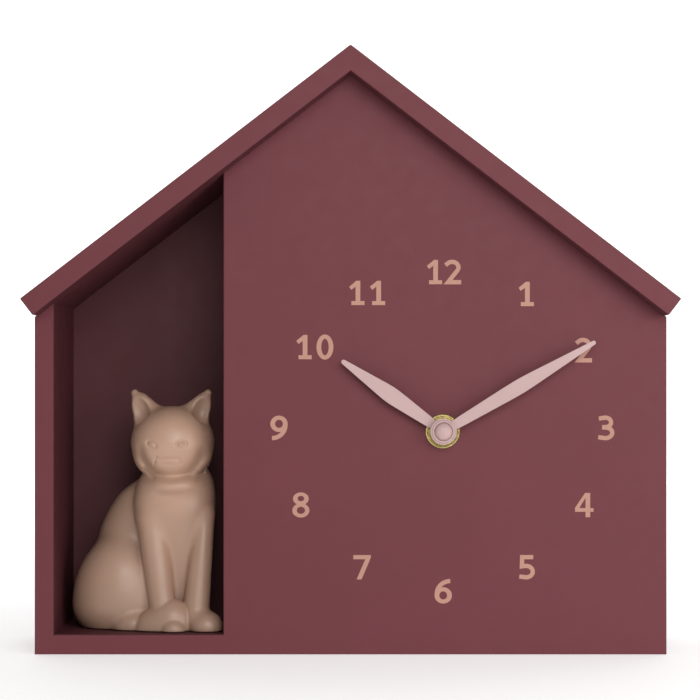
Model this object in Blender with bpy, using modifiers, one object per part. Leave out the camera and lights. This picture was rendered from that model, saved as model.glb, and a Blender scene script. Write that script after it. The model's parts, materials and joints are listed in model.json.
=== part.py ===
"""House-shaped wall clock with a seated cat in its niche and a battery quartz movement.

Metres, +Z up. The dial faces -Y, +X is to the right of a person who reads it, and the origin
lies on the base, under the middle of the case. A positive turn about +Y is clockwise on the dial.
"""

import math

import bmesh
import bpy
from mathutils import Matrix, Vector

# ---------------------------------------------------------------- driving dimensions

GAP = 0.0003  # between boards that are glued, and between pieces that rest on each other

# case
ROOF_HALF_WIDTH = 0.1261
RIDGE_HEIGHT = 0.2340
ROOF_SLOPE = 0.7687
ROOF_THICKNESS = 0.0080
CASE_HALF_DEPTH = 0.038
BODY_HALF_WIDTH = 0.1222
SIDE_THICKNESS = 0.0075
BASE_THICKNESS = 0.0078
FACE_Y = -0.0255
FACE_THICKNESS = 0.005
NICHE_RIGHT = -0.0492
DIVIDER_THICKNESS = 0.005
BACK_Y = 0.033
BACK_THICKNESS = 0.003
EDGE_ROUNDING = 0.0005
WINDOW_LOW, WINDOW_HIGH, WINDOW_HALF_WIDTH = -0.036, 0.032, 0.034  # in the back panel, from the shaft

# hanger
HANGER_Z = 0.178
HANGER_HALF_WIDTH, HANGER_HALF_HEIGHT = 0.020, 0.010
HANGER_SCREW_X = 0.0155
HANGER_SCREW_RADIUS = 0.0013
HANGER_SCREW_HEAD = 0.0027
KEYHOLE_RADIUS = 0.0045
KEYHOLE_SLOT = 0.0021
KEYHOLE_DROP = 0.003  # its round entry lies this far below the plate's middle
KEYHOLE_RISE = 0.0055

# dial and hands
DIAL = Vector((0.0356, 0.0, 0.0863))
HOUR, MINUTE = 10, 9.9
MINUTE_HAND_LENGTH = 0.0678
HOUR_HAND_LENGTH = 0.0476
HAND_THICKNESS = 0.0005
HOUR_HAND_Y = -0.0303
MINUTE_HAND_Y = -0.0321

# movement: layers are (front, back) along Y
CASE_SIZE = 0.056
CASE_BELOW_SHAFT = 0.030
CASE_WALL = 0.0014
CASE_FRONT_Y = -0.0189
CASE_REAR_Y = -0.0046
COVER_LAYER = (-0.0043, -0.0029)
BAY_WALL_TOP = -0.0122  # above the battery, measured from the shaft
BRIDGE_LAYER = (-0.0104, -0.0095)
HOUR_LAYER = (-0.0171, -0.0164)
MOTION_LAYER = (-0.0160, -0.0152)
CENTRE_LAYER = (-0.0148, -0.0141)
THIRD_LAYER = (-0.0137, -0.0130)
SECONDS_LAYER = (-0.0126, -0.0119)
STEP_LAYER = (-0.0115, -0.0108)
STATOR_LAYER = (-0.0082, -0.0072)
CORE_LAYER = (-0.0094, -0.0085)
BOARD_LAYER = (-0.0060, -0.0052)
KNOB_LAYER = (-0.0026, -0.0002)
BUSH_RADIUS = 0.0040
BUSH_BORE = 0.00275
BUSH_END_Y = -0.0296
STUD_RADIUS = 0.0008
PIVOT_RADIUS = 0.0005
PIVOT_HOLE = 0.0007
ARBOR_RADIUS = 0.0008

# wheels: teeth of the wheel, teeth of the pinion that meshes with it, module
MOTION_TEETH, CANNON_TEETH, MOTION_MODULE = 36, 12, 0.000375
SETTING_TEETH = 12
HOUR_TEETH, HOUR_PINION_TEETH, HOUR_MODULE = 40, 10, 0.00036
CENTRE_TEETH, THIRD_PINION_TEETH, CENTRE_MODULE = 64, 8, 0.00034
THIRD_TEETH, SECONDS_PINION_TEETH, THIRD_MODULE = 60, 8, 0.00036
SECONDS_TEETH, STEP_PINION_TEETH, SECONDS_MODULE = 60, 8, 0.00036
STEP_TEETH, ROTOR_TEETH, STEP_MODULE = 40, 10, 0.0003
WHEEL_ADDENDUM, PINION_ADDENDUM, DEDENDUM = 0.6, 0.7, 1.05
WHEEL_TOOTH, PINION_TOOTH = 0.34, 0.40  # tooth width at the pitch circle, as a share of the pitch

# directions from one arbor to the next, seen from the dial, counted from +X towards +Z
MOTION_DIRECTION = math.radians(30)
SETTING_DIRECTION = math.radians(-20)
THIRD_DIRECTION = math.radians(150)
STEP_DIRECTION = math.radians(80)
ROTOR_DIRECTION = math.radians(10)

# battery and coil
BATTERY_RADIUS = 0.00725
BATTERY_LENGTH = 0.0505
COIL_RADIUS = 0.0030
COIL_HEIGHT = 0.0209  # above the shaft

# cat
CAT_FLOOR = BASE_THICKNESS + 0.0012


# ---------------------------------------------------------------- scene, materials, helpers


def clear_scene():
    for obj in list(bpy.data.objects):
        bpy.data.objects.remove(obj, do_unlink=True)


def new_collection(name):
    collection = bpy.data.collections.new(name)
    bpy.context.scene.collection.children.link(collection)
    return collection


def new_material(name, colour, roughness, metallic=0.0):
    material = bpy.data.materials.new(name)
    material.use_nodes = True
    shader = material.node_tree.nodes["Principled BSDF"]
    shader.inputs["Base Color"].default_value = (*colour, 1.0)
    shader.inputs["Roughness"].default_value = roughness
    shader.inputs["Metallic"].default_value = metallic
    return material


def add_object(name, mesh, material, location=(0, 0, 0), rotation=(0, 0, 0)):
    obj = bpy.data.objects.new(name, mesh)
    obj.location = location
    obj.rotation_euler = rotation
    mesh.materials.clear()
    mesh.materials.append(material)
    PARTS.objects.link(obj)
    return obj


def as_cutter(obj):
    """Moves an object out of the clock, to be used only by a Boolean."""
    PARTS.objects.unlink(obj)
    CUTTERS.objects.link(obj)
    obj.hide_render = True
    obj.display_type = "WIRE"
    return obj


def boolean(obj, other, operation):
    modifier = obj.modifiers.new(other.name, "BOOLEAN")
    modifier.operation = operation
    modifier.solver = "EXACT"
    modifier.object = as_cutter(other)


def round_edges(obj, width=EDGE_ROUNDING, segments=2):
    modifier = obj.modifiers.new("edges", "BEVEL")
    modifier.width = width
    modifier.segments = segments
    modifier.limit_method = "ANGLE"
    modifier.angle_limit = math.radians(30)


FACING_DIAL = (math.pi / 2, 0, 0)  # turns an object's local +Z to the front, -Y


def plate(name, outlines, layer, material, centre=(0, 0), angle=0.0):
    """A flat piece between the two Y values of layer.

    outlines are closed (x, z) outlines about centre, an outer one and its holes; angle turns them
    clockwise on the dial.
    """
    front, back = layer
    curve = bpy.data.curves.new(name, "CURVE")
    curve.dimensions = "2D"
    curve.fill_mode = "BOTH"
    curve.extrude = (back - front) / 2
    for outline in outlines:
        spline = curve.splines.new("POLY")
        spline.points.add(len(outline) - 1)
        spline.use_cyclic_u = True
        for point, (x, z) in zip(spline.points, outline):
            point.co = (x, z, 0, 1)
    guide = bpy.data.objects.new(name + "_outline", curve)
    PARTS.objects.link(guide)
    bpy.context.view_layer.update()
    graph = bpy.context.evaluated_depsgraph_get()
    mesh = bpy.data.meshes.new_from_object(guide.evaluated_get(graph))
    bpy.data.objects.remove(guide)
    mesh.transform(Matrix.Translation((0, 0, -(front + back) / 2)))
    mesh.transform(Matrix.Rotation(-angle, 4, "Z"))
    tidy(mesh)
    return add_object(name, mesh, material, (centre[0], 0, centre[1]), FACING_DIAL)


def tidy(mesh):
    """Welds loose caps and turns all faces outwards."""
    bm = bmesh.new()
    bm.from_mesh(mesh)
    bmesh.ops.remove_doubles(bm, verts=bm.verts, dist=1e-7)
    bmesh.ops.recalc_face_normals(bm, faces=bm.faces)
    bm.to_mesh(mesh)
    bm.free()


def turned(name, profile, material, centre=(0, 0), closed=False, segments=32):
    """A body of revolution about the line along Y through centre.

    profile lists (radius, y) from the front end down the outer side; closed joins its ends.
    """
    points = [(radius, 0, -y) for radius, y in profile]
    return spun(name, points, material, (centre[0], 0, centre[1]), FACING_DIAL, closed, segments)


def spun(name, points, material, location, rotation, closed, segments):
    """Turns points, given at +X from the top down, about the object's own Z."""
    mesh = bpy.data.meshes.new(name)
    edges = [(i, i + 1) for i in range(len(points) - 1)]
    if closed:
        edges.append((len(points) - 1, 0))
    mesh.from_pydata(points, edges, [])
    obj = add_object(name, mesh, material, location, rotation)
    screw = obj.modifiers.new("turn", "SCREW")
    screw.axis = "Z"
    screw.angle = 2 * math.pi
    screw.steps = segments
    screw.render_steps = segments
    screw.use_merge_vertices = True
    screw.merge_threshold = 1e-6
    screw.use_smooth_shade = True
    return obj


def rod(name, radius, front, back, material, centre, segments=16):
    return turned(name, [(0, front), (radius, front), (radius, back), (0, back)],
                  material, centre, segments=segments)


def ring(name, inner, outer, front, back, material, centre, segments=32):
    profile = [(inner, front), (outer, front), (outer, back), (inner, back)]
    return turned(name, profile, material, centre, closed=True, segments=segments)


def box(name, low, high, material):
    """An upright block between two corners."""
    low, high = Vector(low), Vector(high)
    mesh = bpy.data.meshes.new(name)
    bm = bmesh.new()
    bmesh.ops.create_cube(bm, size=1.0)
    bmesh.ops.scale(bm, vec=high - low, verts=bm.verts)
    bm.to_mesh(mesh)
    bm.free()
    return add_object(name, mesh, material, (low + high) / 2)


def circle(radius, count=24, centre=(0, 0)):
    turns = [2 * math.pi * i / count for i in range(count)]
    return [(centre[0] + radius * math.cos(t), centre[1] + radius * math.sin(t)) for t in turns]


def rounded_rectangle(left, bottom, right, top, radius, steps=4):
    corners = ((right - radius, top - radius, 0), (left + radius, top - radius, 90),
               (left + radius, bottom + radius, 180), (right - radius, bottom + radius, 270))
    outline = []
    for x, z, start in corners:
        for i in range(steps + 1):
            turn = math.radians(start + 90 * i / steps)
            outline.append((x + radius * math.cos(turn), z + radius * math.sin(turn)))
    return outline


def knurled(outer, inner, ridges, pattern):
    """A grip's outline: along each ridge, 1 in the pattern is a point on the outer radius."""
    outline = []
    for i in range(ridges * len(pattern)):
        radius = outer if pattern[i % len(pattern)] else inner
        turn = 2 * math.pi * i / (ridges * len(pattern))
        outline.append((radius * math.cos(turn), radius * math.sin(turn)))
    return outline


def polar(distance, direction):
    return Vector((distance * math.cos(direction), 0, distance * math.sin(direction)))


def xz(point):
    return (point.x, point.z)


# ---------------------------------------------------------------- case


def roof_top(x):
    """Height of the roof's upper face at x."""
    return RIDGE_HEIGHT - ROOF_SLOPE * abs(x)


def roof_underside(x):
    return roof_top(x) - ROOF_THICKNESS * math.hypot(1, ROOF_SLOPE)


def under_roof(x):
    """Height of a board's top edge at x, which is glued to the roof's underside."""
    return roof_underside(x) - GAP * math.hypot(1, ROOF_SLOPE)


def roof_board(side, name):
    """One slope: mitred at the ridge, cut square at the eave."""
    steepness = math.atan(ROOF_SLOPE)
    mitre = GAP / 2
    eave = (ROOF_HALF_WIDTH, roof_top(ROOF_HALF_WIDTH))
    drip = (eave[0] - ROOF_THICKNESS * math.sin(steepness),
            eave[1] - ROOF_THICKNESS * math.cos(steepness))
    outline = [(mitre, roof_top(mitre)), eave, drip, (mitre, roof_underside(mitre))]
    board = plate(name, [[(side * x, z) for x, z in outline]],
                  (-CASE_HALF_DEPTH, CASE_HALF_DEPTH), PAINTED_BOARD)
    round_edges(board)


def upright(name, x_from, x_to, z_from, layer):
    """An upright board across the depth, its top edge cut to the roof's slope."""
    outline = [(x_from, z_from), (x_to, z_from), (x_to, under_roof(x_to)), (x_from, under_roof(x_from))]
    return plate(name, [outline], layer, PAINTED_BOARD)


def build_front_panel():
    """One sheet: the niche is a notch that runs up to the roof, beside a narrow left strip."""
    half = BODY_HALF_WIDTH
    strip = -half + SIDE_THICKNESS
    outline = [(-half, 0), (half, 0), (half, under_roof(half)), (0, under_roof(0)),
               (NICHE_RIGHT, under_roof(NICHE_RIGHT)), (NICHE_RIGHT, BASE_THICKNESS),
               (strip, BASE_THICKNESS), (strip, under_roof(strip)), (-half, under_roof(half))]
    shaft_hole = circle(BUSH_RADIUS + GAP, 24, xz(DIAL))
    plate("front_panel", [outline, shaft_hole], (FACE_Y, FACE_Y + FACE_THICKNESS), PAINTED_BOARD)


def build_boards():
    behind_face = FACE_Y + FACE_THICKNESS + GAP
    full = (behind_face, CASE_HALF_DEPTH)
    inside = BODY_HALF_WIDTH - SIDE_THICKNESS
    upright("left_side_board", -BODY_HALF_WIDTH, -inside, 0, full)
    upright("right_side_board", inside, BODY_HALF_WIDTH, 0, full)
    box("base_board", (GAP - inside, behind_face, 0), (inside - GAP, CASE_HALF_DEPTH, BASE_THICKNESS),
        PAINTED_BOARD)
    upright("divider_board", NICHE_RIGHT, NICHE_RIGHT + DIVIDER_THICKNESS, BASE_THICKNESS + GAP,
            (behind_face, BACK_Y - GAP))
    roof_board(-1, "left_roof_board")
    roof_board(1, "right_roof_board")


def build_back_panel():
    """Fits inside the boards. Its window lets the battery out, and its slot clears the hook."""
    half = BODY_HALF_WIDTH - SIDE_THICKNESS - GAP
    foot = BASE_THICKNESS + GAP
    outline = [(-half, foot), (half, foot), (half, under_roof(half)), (0, under_roof(0)),
               (-half, under_roof(half))]
    window = rounded_rectangle(DIAL.x - WINDOW_HALF_WIDTH, DIAL.z + WINDOW_LOW,
                               DIAL.x + WINDOW_HALF_WIDTH, DIAL.z + WINDOW_HIGH, 0.004)
    hook_room = rounded_rectangle(-0.0065, HANGER_Z - 0.009, 0.0065, HANGER_Z + 0.009, 0.003)
    holes = hanger_screw_holes(0.0002)
    plate("back_panel", [outline, window, hook_room, *holes], (BACK_Y, BACK_Y + BACK_THICKNESS),
          PAINTED_BOARD)


def hanger_screw_holes(clearance):
    radius = HANGER_SCREW_RADIUS + clearance
    return [circle(radius, 16, (side * HANGER_SCREW_X, HANGER_Z)) for side in (-1, 1)]


def keyhole():
    """A round entry for the hook's head, with the slot that it drops into above it."""
    lean = math.asin(KEYHOLE_SLOT / KEYHOLE_RADIUS)
    entry_z, slot_z = HANGER_Z - KEYHOLE_DROP, HANGER_Z + KEYHOLE_RISE
    outline = []
    for i in range(19):
        turn = math.pi / 2 + lean + (2 * math.pi - 2 * lean) * i / 18
        outline.append((KEYHOLE_RADIUS * math.cos(turn), entry_z + KEYHOLE_RADIUS * math.sin(turn)))
    for i in range(7):
        turn = math.pi * i / 6
        outline.append((KEYHOLE_SLOT * math.cos(turn), slot_z + KEYHOLE_SLOT * math.sin(turn)))
    return outline


def build_hanger():
    behind = BACK_Y + BACK_THICKNESS
    layer = (behind + 0.00015, behind + 0.00115)
    outline = rounded_rectangle(-HANGER_HALF_WIDTH, HANGER_Z - HANGER_HALF_HEIGHT,
                                HANGER_HALF_WIDTH, HANGER_Z + HANGER_HALF_HEIGHT, 0.004)
    plate("hanger_plate", [outline, keyhole(), *hanger_screw_holes(0.0003)], layer, STEEL)
    tip, shoulder = BACK_Y + 0.0005, BACK_Y + 0.0015
    under_head, top = layer[1] + 0.00015, layer[1] + 0.0007
    profile = [(0, tip), (0.0006, tip), (HANGER_SCREW_RADIUS, shoulder),
               (HANGER_SCREW_RADIUS, under_head), (HANGER_SCREW_HEAD, under_head),
               (HANGER_SCREW_HEAD - 0.0005, top), (0, top)]
    for side, name in ((-1, "hanger_screw_left"), (1, "hanger_screw_right")):
        turned(name, profile, STEEL, (side * HANGER_SCREW_X, HANGER_Z), segments=20)


# ---------------------------------------------------------------- cat


CAT_MASSES = {  # centre and half-sizes of each rounded mass
    "head": ((-0.0703, -0.0050, 0.0826), (0.0164, 0.0135, 0.0142)),
    "muzzle": ((-0.0700, -0.0150, 0.0770), (0.0075, 0.0055, 0.0058)),
    "neck": ((-0.0715, -0.0030, 0.0680), (0.0135, 0.0105, 0.0110)),
    "shoulders": ((-0.0735, -0.0020, 0.0550), (0.0195, 0.0125, 0.0125)),
    "chest": ((-0.0690, -0.0070, 0.0480), (0.0145, 0.0120, 0.0190)),
    "torso": ((-0.0780, 0.0010, 0.0400), (0.0205, 0.0165, 0.0270)),
    "rump": ((-0.0890, 0.0060, 0.0260), (0.0205, 0.0190, 0.0190)),
    "haunch": ((-0.0930, -0.0030, 0.0230), (0.0160, 0.0120, 0.0160)),
    "hind_foot": ((-0.0890, -0.0130, 0.0120), (0.0090, 0.0060, 0.0048)),
    "left_leg": ((-0.0775, -0.0110, 0.0310), (0.0056, 0.0062, 0.0230)),
    "right_leg": ((-0.0600, -0.0105, 0.0310), (0.0056, 0.0062, 0.0230)),
    "left_paw": ((-0.0680, -0.0160, 0.0120), (0.0058, 0.0060, 0.0045)),
    "right_paw": ((-0.0565, -0.0155, 0.0120), (0.0058, 0.0062, 0.0045)),
    "tail": ((-0.0780, -0.0120, 0.0130), (0.0140, 0.0070, 0.0055)),
}
CAT_EARS = {  # base centre and tip
    "left": ((-0.0800, -0.0040, 0.0880), (-0.0858, -0.0045, 0.1062)),
    "right": ((-0.0606, -0.0040, 0.0880), (-0.0556, -0.0045, 0.1062)),
}
CAT_DETAIL = 0.0037  # size of the figurine's facets


def build_cat():
    """The casting's overall form, from rounded masses melted into one skin and cut flat below."""
    mesh = bpy.data.meshes.new("cat_figurine")
    bm = bmesh.new()
    for centre, half_sizes in CAT_MASSES.values():
        place = Matrix.LocRotScale(centre, None, half_sizes)
        bmesh.ops.create_uvsphere(bm, u_segments=24, v_segments=14, radius=1.0, matrix=place)
    for foot, tip in CAT_EARS.values():
        foot, tip = Vector(foot), Vector(tip)
        along = (tip - foot).to_track_quat("Z", "Y")
        place = Matrix.LocRotScale((foot + tip) / 2, along, None)
        bmesh.ops.create_cone(bm, cap_ends=True, segments=16, radius1=0.0068, radius2=0.0009,
                              depth=(tip - foot).length, matrix=place)
    bm.to_mesh(mesh)
    bm.free()
    cat = add_object("cat_figurine", mesh, CAT_RESIN)
    skin = cat.modifiers.new("skin", "REMESH")
    skin.mode = "VOXEL"
    skin.voxel_size = CAT_DETAIL
    soften = cat.modifiers.new("soften", "SMOOTH")
    soften.factor = 0.5
    soften.iterations = 3
    below = box("below_cat", (-0.13, -0.05, -0.02), (-0.04, 0.05, CAT_FLOOR), CAT_RESIN)
    boolean(cat, below, "DIFFERENCE")

    pad = rounded_rectangle(-0.096, -0.006, -0.066, 0.012, 0.006)
    tape = plate("cat_adhesive_pad", [pad], (-0.00035, 0.00035), FOAM_TAPE)
    tape.rotation_euler = (0, 0, 0)
    tape.location = (0, 0, (BASE_THICKNESS + CAT_FLOOR) / 2)


# ---------------------------------------------------------------- hands


def leaf(length, root, widest, widest_at, tip, hub):
    """A hand that points at 12: a hub disc, and a leaf that swells and then narrows to a round tip."""

    def half_width(t):
        rising = root + (widest - root) * t / widest_at
        falling = widest - (widest - tip) * (t - widest_at) / (1 - widest_at)
        sharp = min(rising, falling)
        near = max(0.0, 1 - abs(t - widest_at) / 0.12)
        return sharp - 0.05 * (widest - tip) * near * near

    samples = [0.12, 0.25, *[widest_at + d for d in (-0.1, -0.06, -0.02, 0.02, 0.06, 0.1)], 0.75, 0.88]
    reach = length - tip
    right = [(half_width(t), reach * t) for t in sorted(samples)]
    start = math.acos(root / hub)
    around = [start - (math.pi + 2 * start) * i / 20 for i in range(21)]
    disc = [(hub * math.cos(a), hub * math.sin(a)) for a in around]
    point = [(tip * math.cos(a), reach + tip * math.sin(a)) for a in [math.pi * i / 8 for i in range(9)]]
    left = [(-x, z) for x, z in reversed(right)]
    return list(reversed(disc)) + right + point + left


def build_hands():
    minute_angle = math.radians(MINUTE * 6)
    hour_angle = math.radians(HOUR * 30 + MINUTE / 2)
    hour_outline = leaf(HOUR_HAND_LENGTH, 0.0015, 0.0033, 0.526, 0.0009, 0.0046)
    plate("hour_hand", [hour_outline, circle(0.00265)], (HOUR_HAND_Y, HOUR_HAND_Y + HAND_THICKNESS),
          HAND_PAINT, xz(DIAL), hour_angle)
    minute_outline = leaf(MINUTE_HAND_LENGTH, 0.0017, 0.00296, 0.513, 0.0008, 0.0044)
    minute_layer = (MINUTE_HAND_Y, MINUTE_HAND_Y + HAND_THICKNESS)
    plate("minute_hand", [minute_outline, circle(0.00185)], minute_layer, HAND_PAINT, xz(DIAL), minute_angle)


def build_cap():
    """A ringed collar with a dome, pushed over the end of the minute arbor."""
    back = MINUTE_HAND_Y - GAP
    collar, dome, socket = 0.0050, 0.00335, 0.00185
    step = back - 0.0007
    height, groove, ring_top = 0.0021, 0.0037, step - 0.0003
    turns = [math.pi / 2 * i / 7 for i in range(8)]
    crown = [(dome * math.sin(turn), step - height * math.cos(turn)) for turn in turns]
    profile = crown + [(groove, step), (groove, ring_top), (0.0044, ring_top), (collar, step + 0.0001),
                       (collar, back), (socket, back), (socket, back - 0.0015), (0, back - 0.0015)]
    turned("minute_cap", profile, HAND_PAINT, xz(DIAL), segments=24)


# ---------------------------------------------------------------- wheels


def gear(teeth, module, phase, addendum, tooth):
    """A toothed outline with straight flanks; phase is the direction of one tooth's middle."""
    pitch = 2 * math.pi / teeth
    tip_radius = (teeth / 2 + addendum) * module
    root_radius = (teeth / 2 - DEDENDUM) * module
    at_pitch = tooth * pitch / 2
    at_tip = at_pitch / 2
    at_root = min(at_pitch + (at_pitch - at_tip) * DEDENDUM / addendum * 0.8, 0.46 * pitch)
    outline = []
    for i in range(teeth):
        middle = phase + i * pitch
        for radius, turn in ((root_radius, -at_root), (tip_radius, -at_tip), (tip_radius, at_tip),
                             (root_radius, at_root)):
            outline.append((radius * math.cos(middle + turn), radius * math.sin(middle + turn)))
    return outline


def wheel_outline(teeth, module, phase=0.0):
    return gear(teeth, module, phase, WHEEL_ADDENDUM, WHEEL_TOOTH)


def pinion_outline(teeth, module, phase=0.0):
    return gear(teeth, module, phase, PINION_ADDENDUM, PINION_TOOTH)


def meshing_phase(phase, teeth, other_teeth, direction):
    """The phase of a second gear, in the given direction from the first, whose gap takes a tooth."""
    pitch, other_pitch = 2 * math.pi / teeth, 2 * math.pi / other_teeth
    share = ((phase - direction) % pitch) / pitch
    return direction + math.pi - share * other_pitch + other_pitch / 2


def distance(teeth, other_teeth, module):
    return (teeth + other_teeth) * module / 2


MOTION = DIAL + polar(distance(CANNON_TEETH, MOTION_TEETH, MOTION_MODULE), MOTION_DIRECTION)
SETTING = MOTION + polar(distance(MOTION_TEETH, SETTING_TEETH, MOTION_MODULE), SETTING_DIRECTION)
THIRD = DIAL + polar(distance(SECONDS_PINION_TEETH, THIRD_TEETH, THIRD_MODULE), THIRD_DIRECTION)
STEP = DIAL + polar(distance(SECONDS_TEETH, STEP_PINION_TEETH, SECONDS_MODULE), STEP_DIRECTION)
ROTOR = STEP + polar(distance(STEP_TEETH, ROTOR_TEETH, STEP_MODULE), ROTOR_DIRECTION)


def wheel_with_pinion(name, place, wheel, pinion):
    """A wheel, its pinion in front of it, and an arbor with a pivot at each end.

    wheel and pinion are (outline, layer).
    """
    centre = xz(place)
    outline, layer = wheel
    body = plate(name, [outline], layer, WHITE_PLASTIC, centre)
    leaf_outline, leaf_layer = pinion
    leaves = plate(name + "_leaves", [leaf_outline], (leaf_layer[0], layer[0] + 0.0002),
                   WHITE_PLASTIC, centre)
    boolean(body, leaves, "UNION")
    inner_wall = CASE_FRONT_Y + CASE_WALL
    front = inner_wall - 0.0006
    back = BRIDGE_LAYER[1] - 0.0001
    shoulder_front = inner_wall + 0.0003
    shoulder_back = BRIDGE_LAYER[0] - 0.0002
    profile = [(0, front), (PIVOT_RADIUS, front), (PIVOT_RADIUS, shoulder_front),
               (ARBOR_RADIUS, shoulder_front), (ARBOR_RADIUS, shoulder_back), (PIVOT_RADIUS, shoulder_back),
               (PIVOT_RADIUS, back), (0, back)]
    boolean(body, turned(name + "_arbor", profile, WHITE_PLASTIC, centre, segments=12), "UNION")
    return body


def build_motion_work():
    """Setting knob and arbor, motion wheel, minute arbor and hour wheel: what the knob turns."""
    centre = xz(DIAL)
    cannon = plate("minute_arbor", [pinion_outline(CANNON_TEETH, MOTION_MODULE), circle(0.0012, 12)],
                   MOTION_LAYER, WHITE_PLASTIC, centre)
    seat_y = MOTION_LAYER[1]
    front, back = MINUTE_HAND_Y - 0.0017, CENTRE_LAYER[1] + 0.0002
    shaft, seat, bore = 0.0017, 0.00115, 0.0007
    profile = [(0, front), (shaft - 0.0003, front), (shaft, front + 0.0003), (shaft, seat_y - 0.0002),
               (seat, seat_y - 0.0002), (seat, back), (bore, back), (bore, back - 0.0040), (0, back - 0.0040)]
    boolean(cannon, turned("minute_arbor_shaft", profile, WHITE_PLASTIC, centre, segments=20), "UNION")

    motion_phase = meshing_phase(0, CANNON_TEETH, MOTION_TEETH, MOTION_DIRECTION)
    stud_hole = circle(STUD_RADIUS + 0.0002, 16)
    motion = plate("motion_wheel", [wheel_outline(MOTION_TEETH, MOTION_MODULE, motion_phase), stud_hole],
                   MOTION_LAYER, WHITE_PLASTIC, xz(MOTION))
    leaves = plate("motion_wheel_leaves", [pinion_outline(HOUR_PINION_TEETH, HOUR_MODULE), stud_hole],
                   (HOUR_LAYER[0], MOTION_LAYER[0] + 0.0002), WHITE_PLASTIC, xz(MOTION))
    boolean(motion, leaves, "UNION")

    setting_phase = meshing_phase(motion_phase, MOTION_TEETH, SETTING_TEETH, SETTING_DIRECTION)
    setting = plate("setting_arbor", [pinion_outline(SETTING_TEETH, MOTION_MODULE, setting_phase)],
                    MOTION_LAYER, WHITE_PLASTIC, xz(SETTING))
    wall = CASE_FRONT_Y + CASE_WALL
    profile = [(0, wall - 0.0006), (PIVOT_RADIUS, wall - 0.0006), (PIVOT_RADIUS, wall + 0.0003),
               (0.0012, wall + 0.0003), (0.0012, KNOB_LAYER[1] - 0.0007), (0, KNOB_LAYER[1] - 0.0007)]
    boolean(setting, turned("setting_arbor_shaft", profile, WHITE_PLASTIC, xz(SETTING), segments=16), "UNION")

    hour_phase = meshing_phase(0, HOUR_PINION_TEETH, HOUR_TEETH, MOTION_DIRECTION + math.pi)
    hour_rim = wheel_outline(HOUR_TEETH, HOUR_MODULE, hour_phase)
    hour = plate("hour_wheel", [hour_rim, circle(0.0022)], HOUR_LAYER, WHITE_PLASTIC, centre)
    bore, tube_radius, tube_end = 0.00195, 0.0025, HOUR_HAND_Y - 0.0003
    tube = ring("hour_wheel_tube", bore, tube_radius, tube_end, HOUR_LAYER[1] - 0.0002,
                WHITE_PLASTIC, centre, 24)
    boolean(hour, tube, "UNION")

    grip = knurled(0.0050, 0.0047, 20, (1, 1, 0, 0))
    plate("setting_knob", [grip, circle(0.0014, 16)], KNOB_LAYER, BLACK_PLASTIC, xz(SETTING))


def build_train():
    """Rotor to centre wheel: what the motor turns. The centre wheel slips on the minute arbor."""
    centre_wheel = wheel_outline(CENTRE_TEETH, CENTRE_MODULE)
    plate("centre_wheel", [centre_wheel, circle(0.0013, 20)], CENTRE_LAYER, WHITE_PLASTIC, xz(DIAL))
    third_pinion_phase = meshing_phase(0, CENTRE_TEETH, THIRD_PINION_TEETH, THIRD_DIRECTION)
    wheel_with_pinion(
        "third_wheel", THIRD,
        (wheel_outline(THIRD_TEETH, THIRD_MODULE), THIRD_LAYER),
        (pinion_outline(THIRD_PINION_TEETH, CENTRE_MODULE, third_pinion_phase), CENTRE_LAYER))

    seconds_pinion_phase = meshing_phase(0, THIRD_TEETH, SECONDS_PINION_TEETH, THIRD_DIRECTION + math.pi)
    seconds = plate("seconds_wheel", [wheel_outline(SECONDS_TEETH, SECONDS_MODULE)], SECONDS_LAYER,
                    WHITE_PLASTIC, xz(DIAL))
    leaves = plate("seconds_wheel_leaves",
                   [pinion_outline(SECONDS_PINION_TEETH, THIRD_MODULE, seconds_pinion_phase)],
                   (THIRD_LAYER[0], SECONDS_LAYER[0] + 0.0002), WHITE_PLASTIC, xz(DIAL))
    boolean(seconds, leaves, "UNION")
    nose = CENTRE_LAYER[1] - 0.0030
    shoulder, back = BRIDGE_LAYER[0] - 0.0002, BRIDGE_LAYER[1] - 0.0001
    profile = [(0, nose), (PIVOT_RADIUS, nose), (PIVOT_RADIUS, THIRD_LAYER[0] + 0.0002),
               (ARBOR_RADIUS, THIRD_LAYER[0] + 0.0002), (ARBOR_RADIUS, shoulder), (PIVOT_RADIUS, shoulder),
               (PIVOT_RADIUS, back), (0, back)]
    boolean(seconds, turned("seconds_wheel_arbor", profile, WHITE_PLASTIC, xz(DIAL), segments=12), "UNION")

    step_pinion_phase = meshing_phase(0, SECONDS_TEETH, STEP_PINION_TEETH, STEP_DIRECTION)
    wheel_with_pinion(
        "intermediate_wheel", STEP,
        (wheel_outline(STEP_TEETH, STEP_MODULE), STEP_LAYER),
        (pinion_outline(STEP_PINION_TEETH, SECONDS_MODULE, step_pinion_phase), SECONDS_LAYER))

    rotor_phase = meshing_phase(0, STEP_TEETH, ROTOR_TEETH, ROTOR_DIRECTION)
    rotor = plate("rotor_pinion", [pinion_outline(ROTOR_TEETH, STEP_MODULE, rotor_phase)], STEP_LAYER,
                  WHITE_PLASTIC, xz(ROTOR))
    wall, cover = CASE_FRONT_Y + CASE_WALL, COVER_LAYER[0]
    profile = [(0, wall - 0.0006), (PIVOT_RADIUS, wall - 0.0006), (PIVOT_RADIUS, wall + 0.0003),
               (ARBOR_RADIUS, wall + 0.0003), (ARBOR_RADIUS, cover - 0.0004), (PIVOT_RADIUS, cover - 0.0004),
               (PIVOT_RADIUS, cover + 0.0006), (0, cover + 0.0006)]
    boolean(rotor, turned("rotor_arbor", profile, WHITE_PLASTIC, xz(ROTOR), segments=12), "UNION")
    ring("rotor_magnet", ARBOR_RADIUS + 0.0002, 0.0026, STATOR_LAYER[0] - 0.0006, STATOR_LAYER[1] + 0.0006,
         MAGNET, xz(ROTOR), 24)


# ---------------------------------------------------------------- movement


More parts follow.
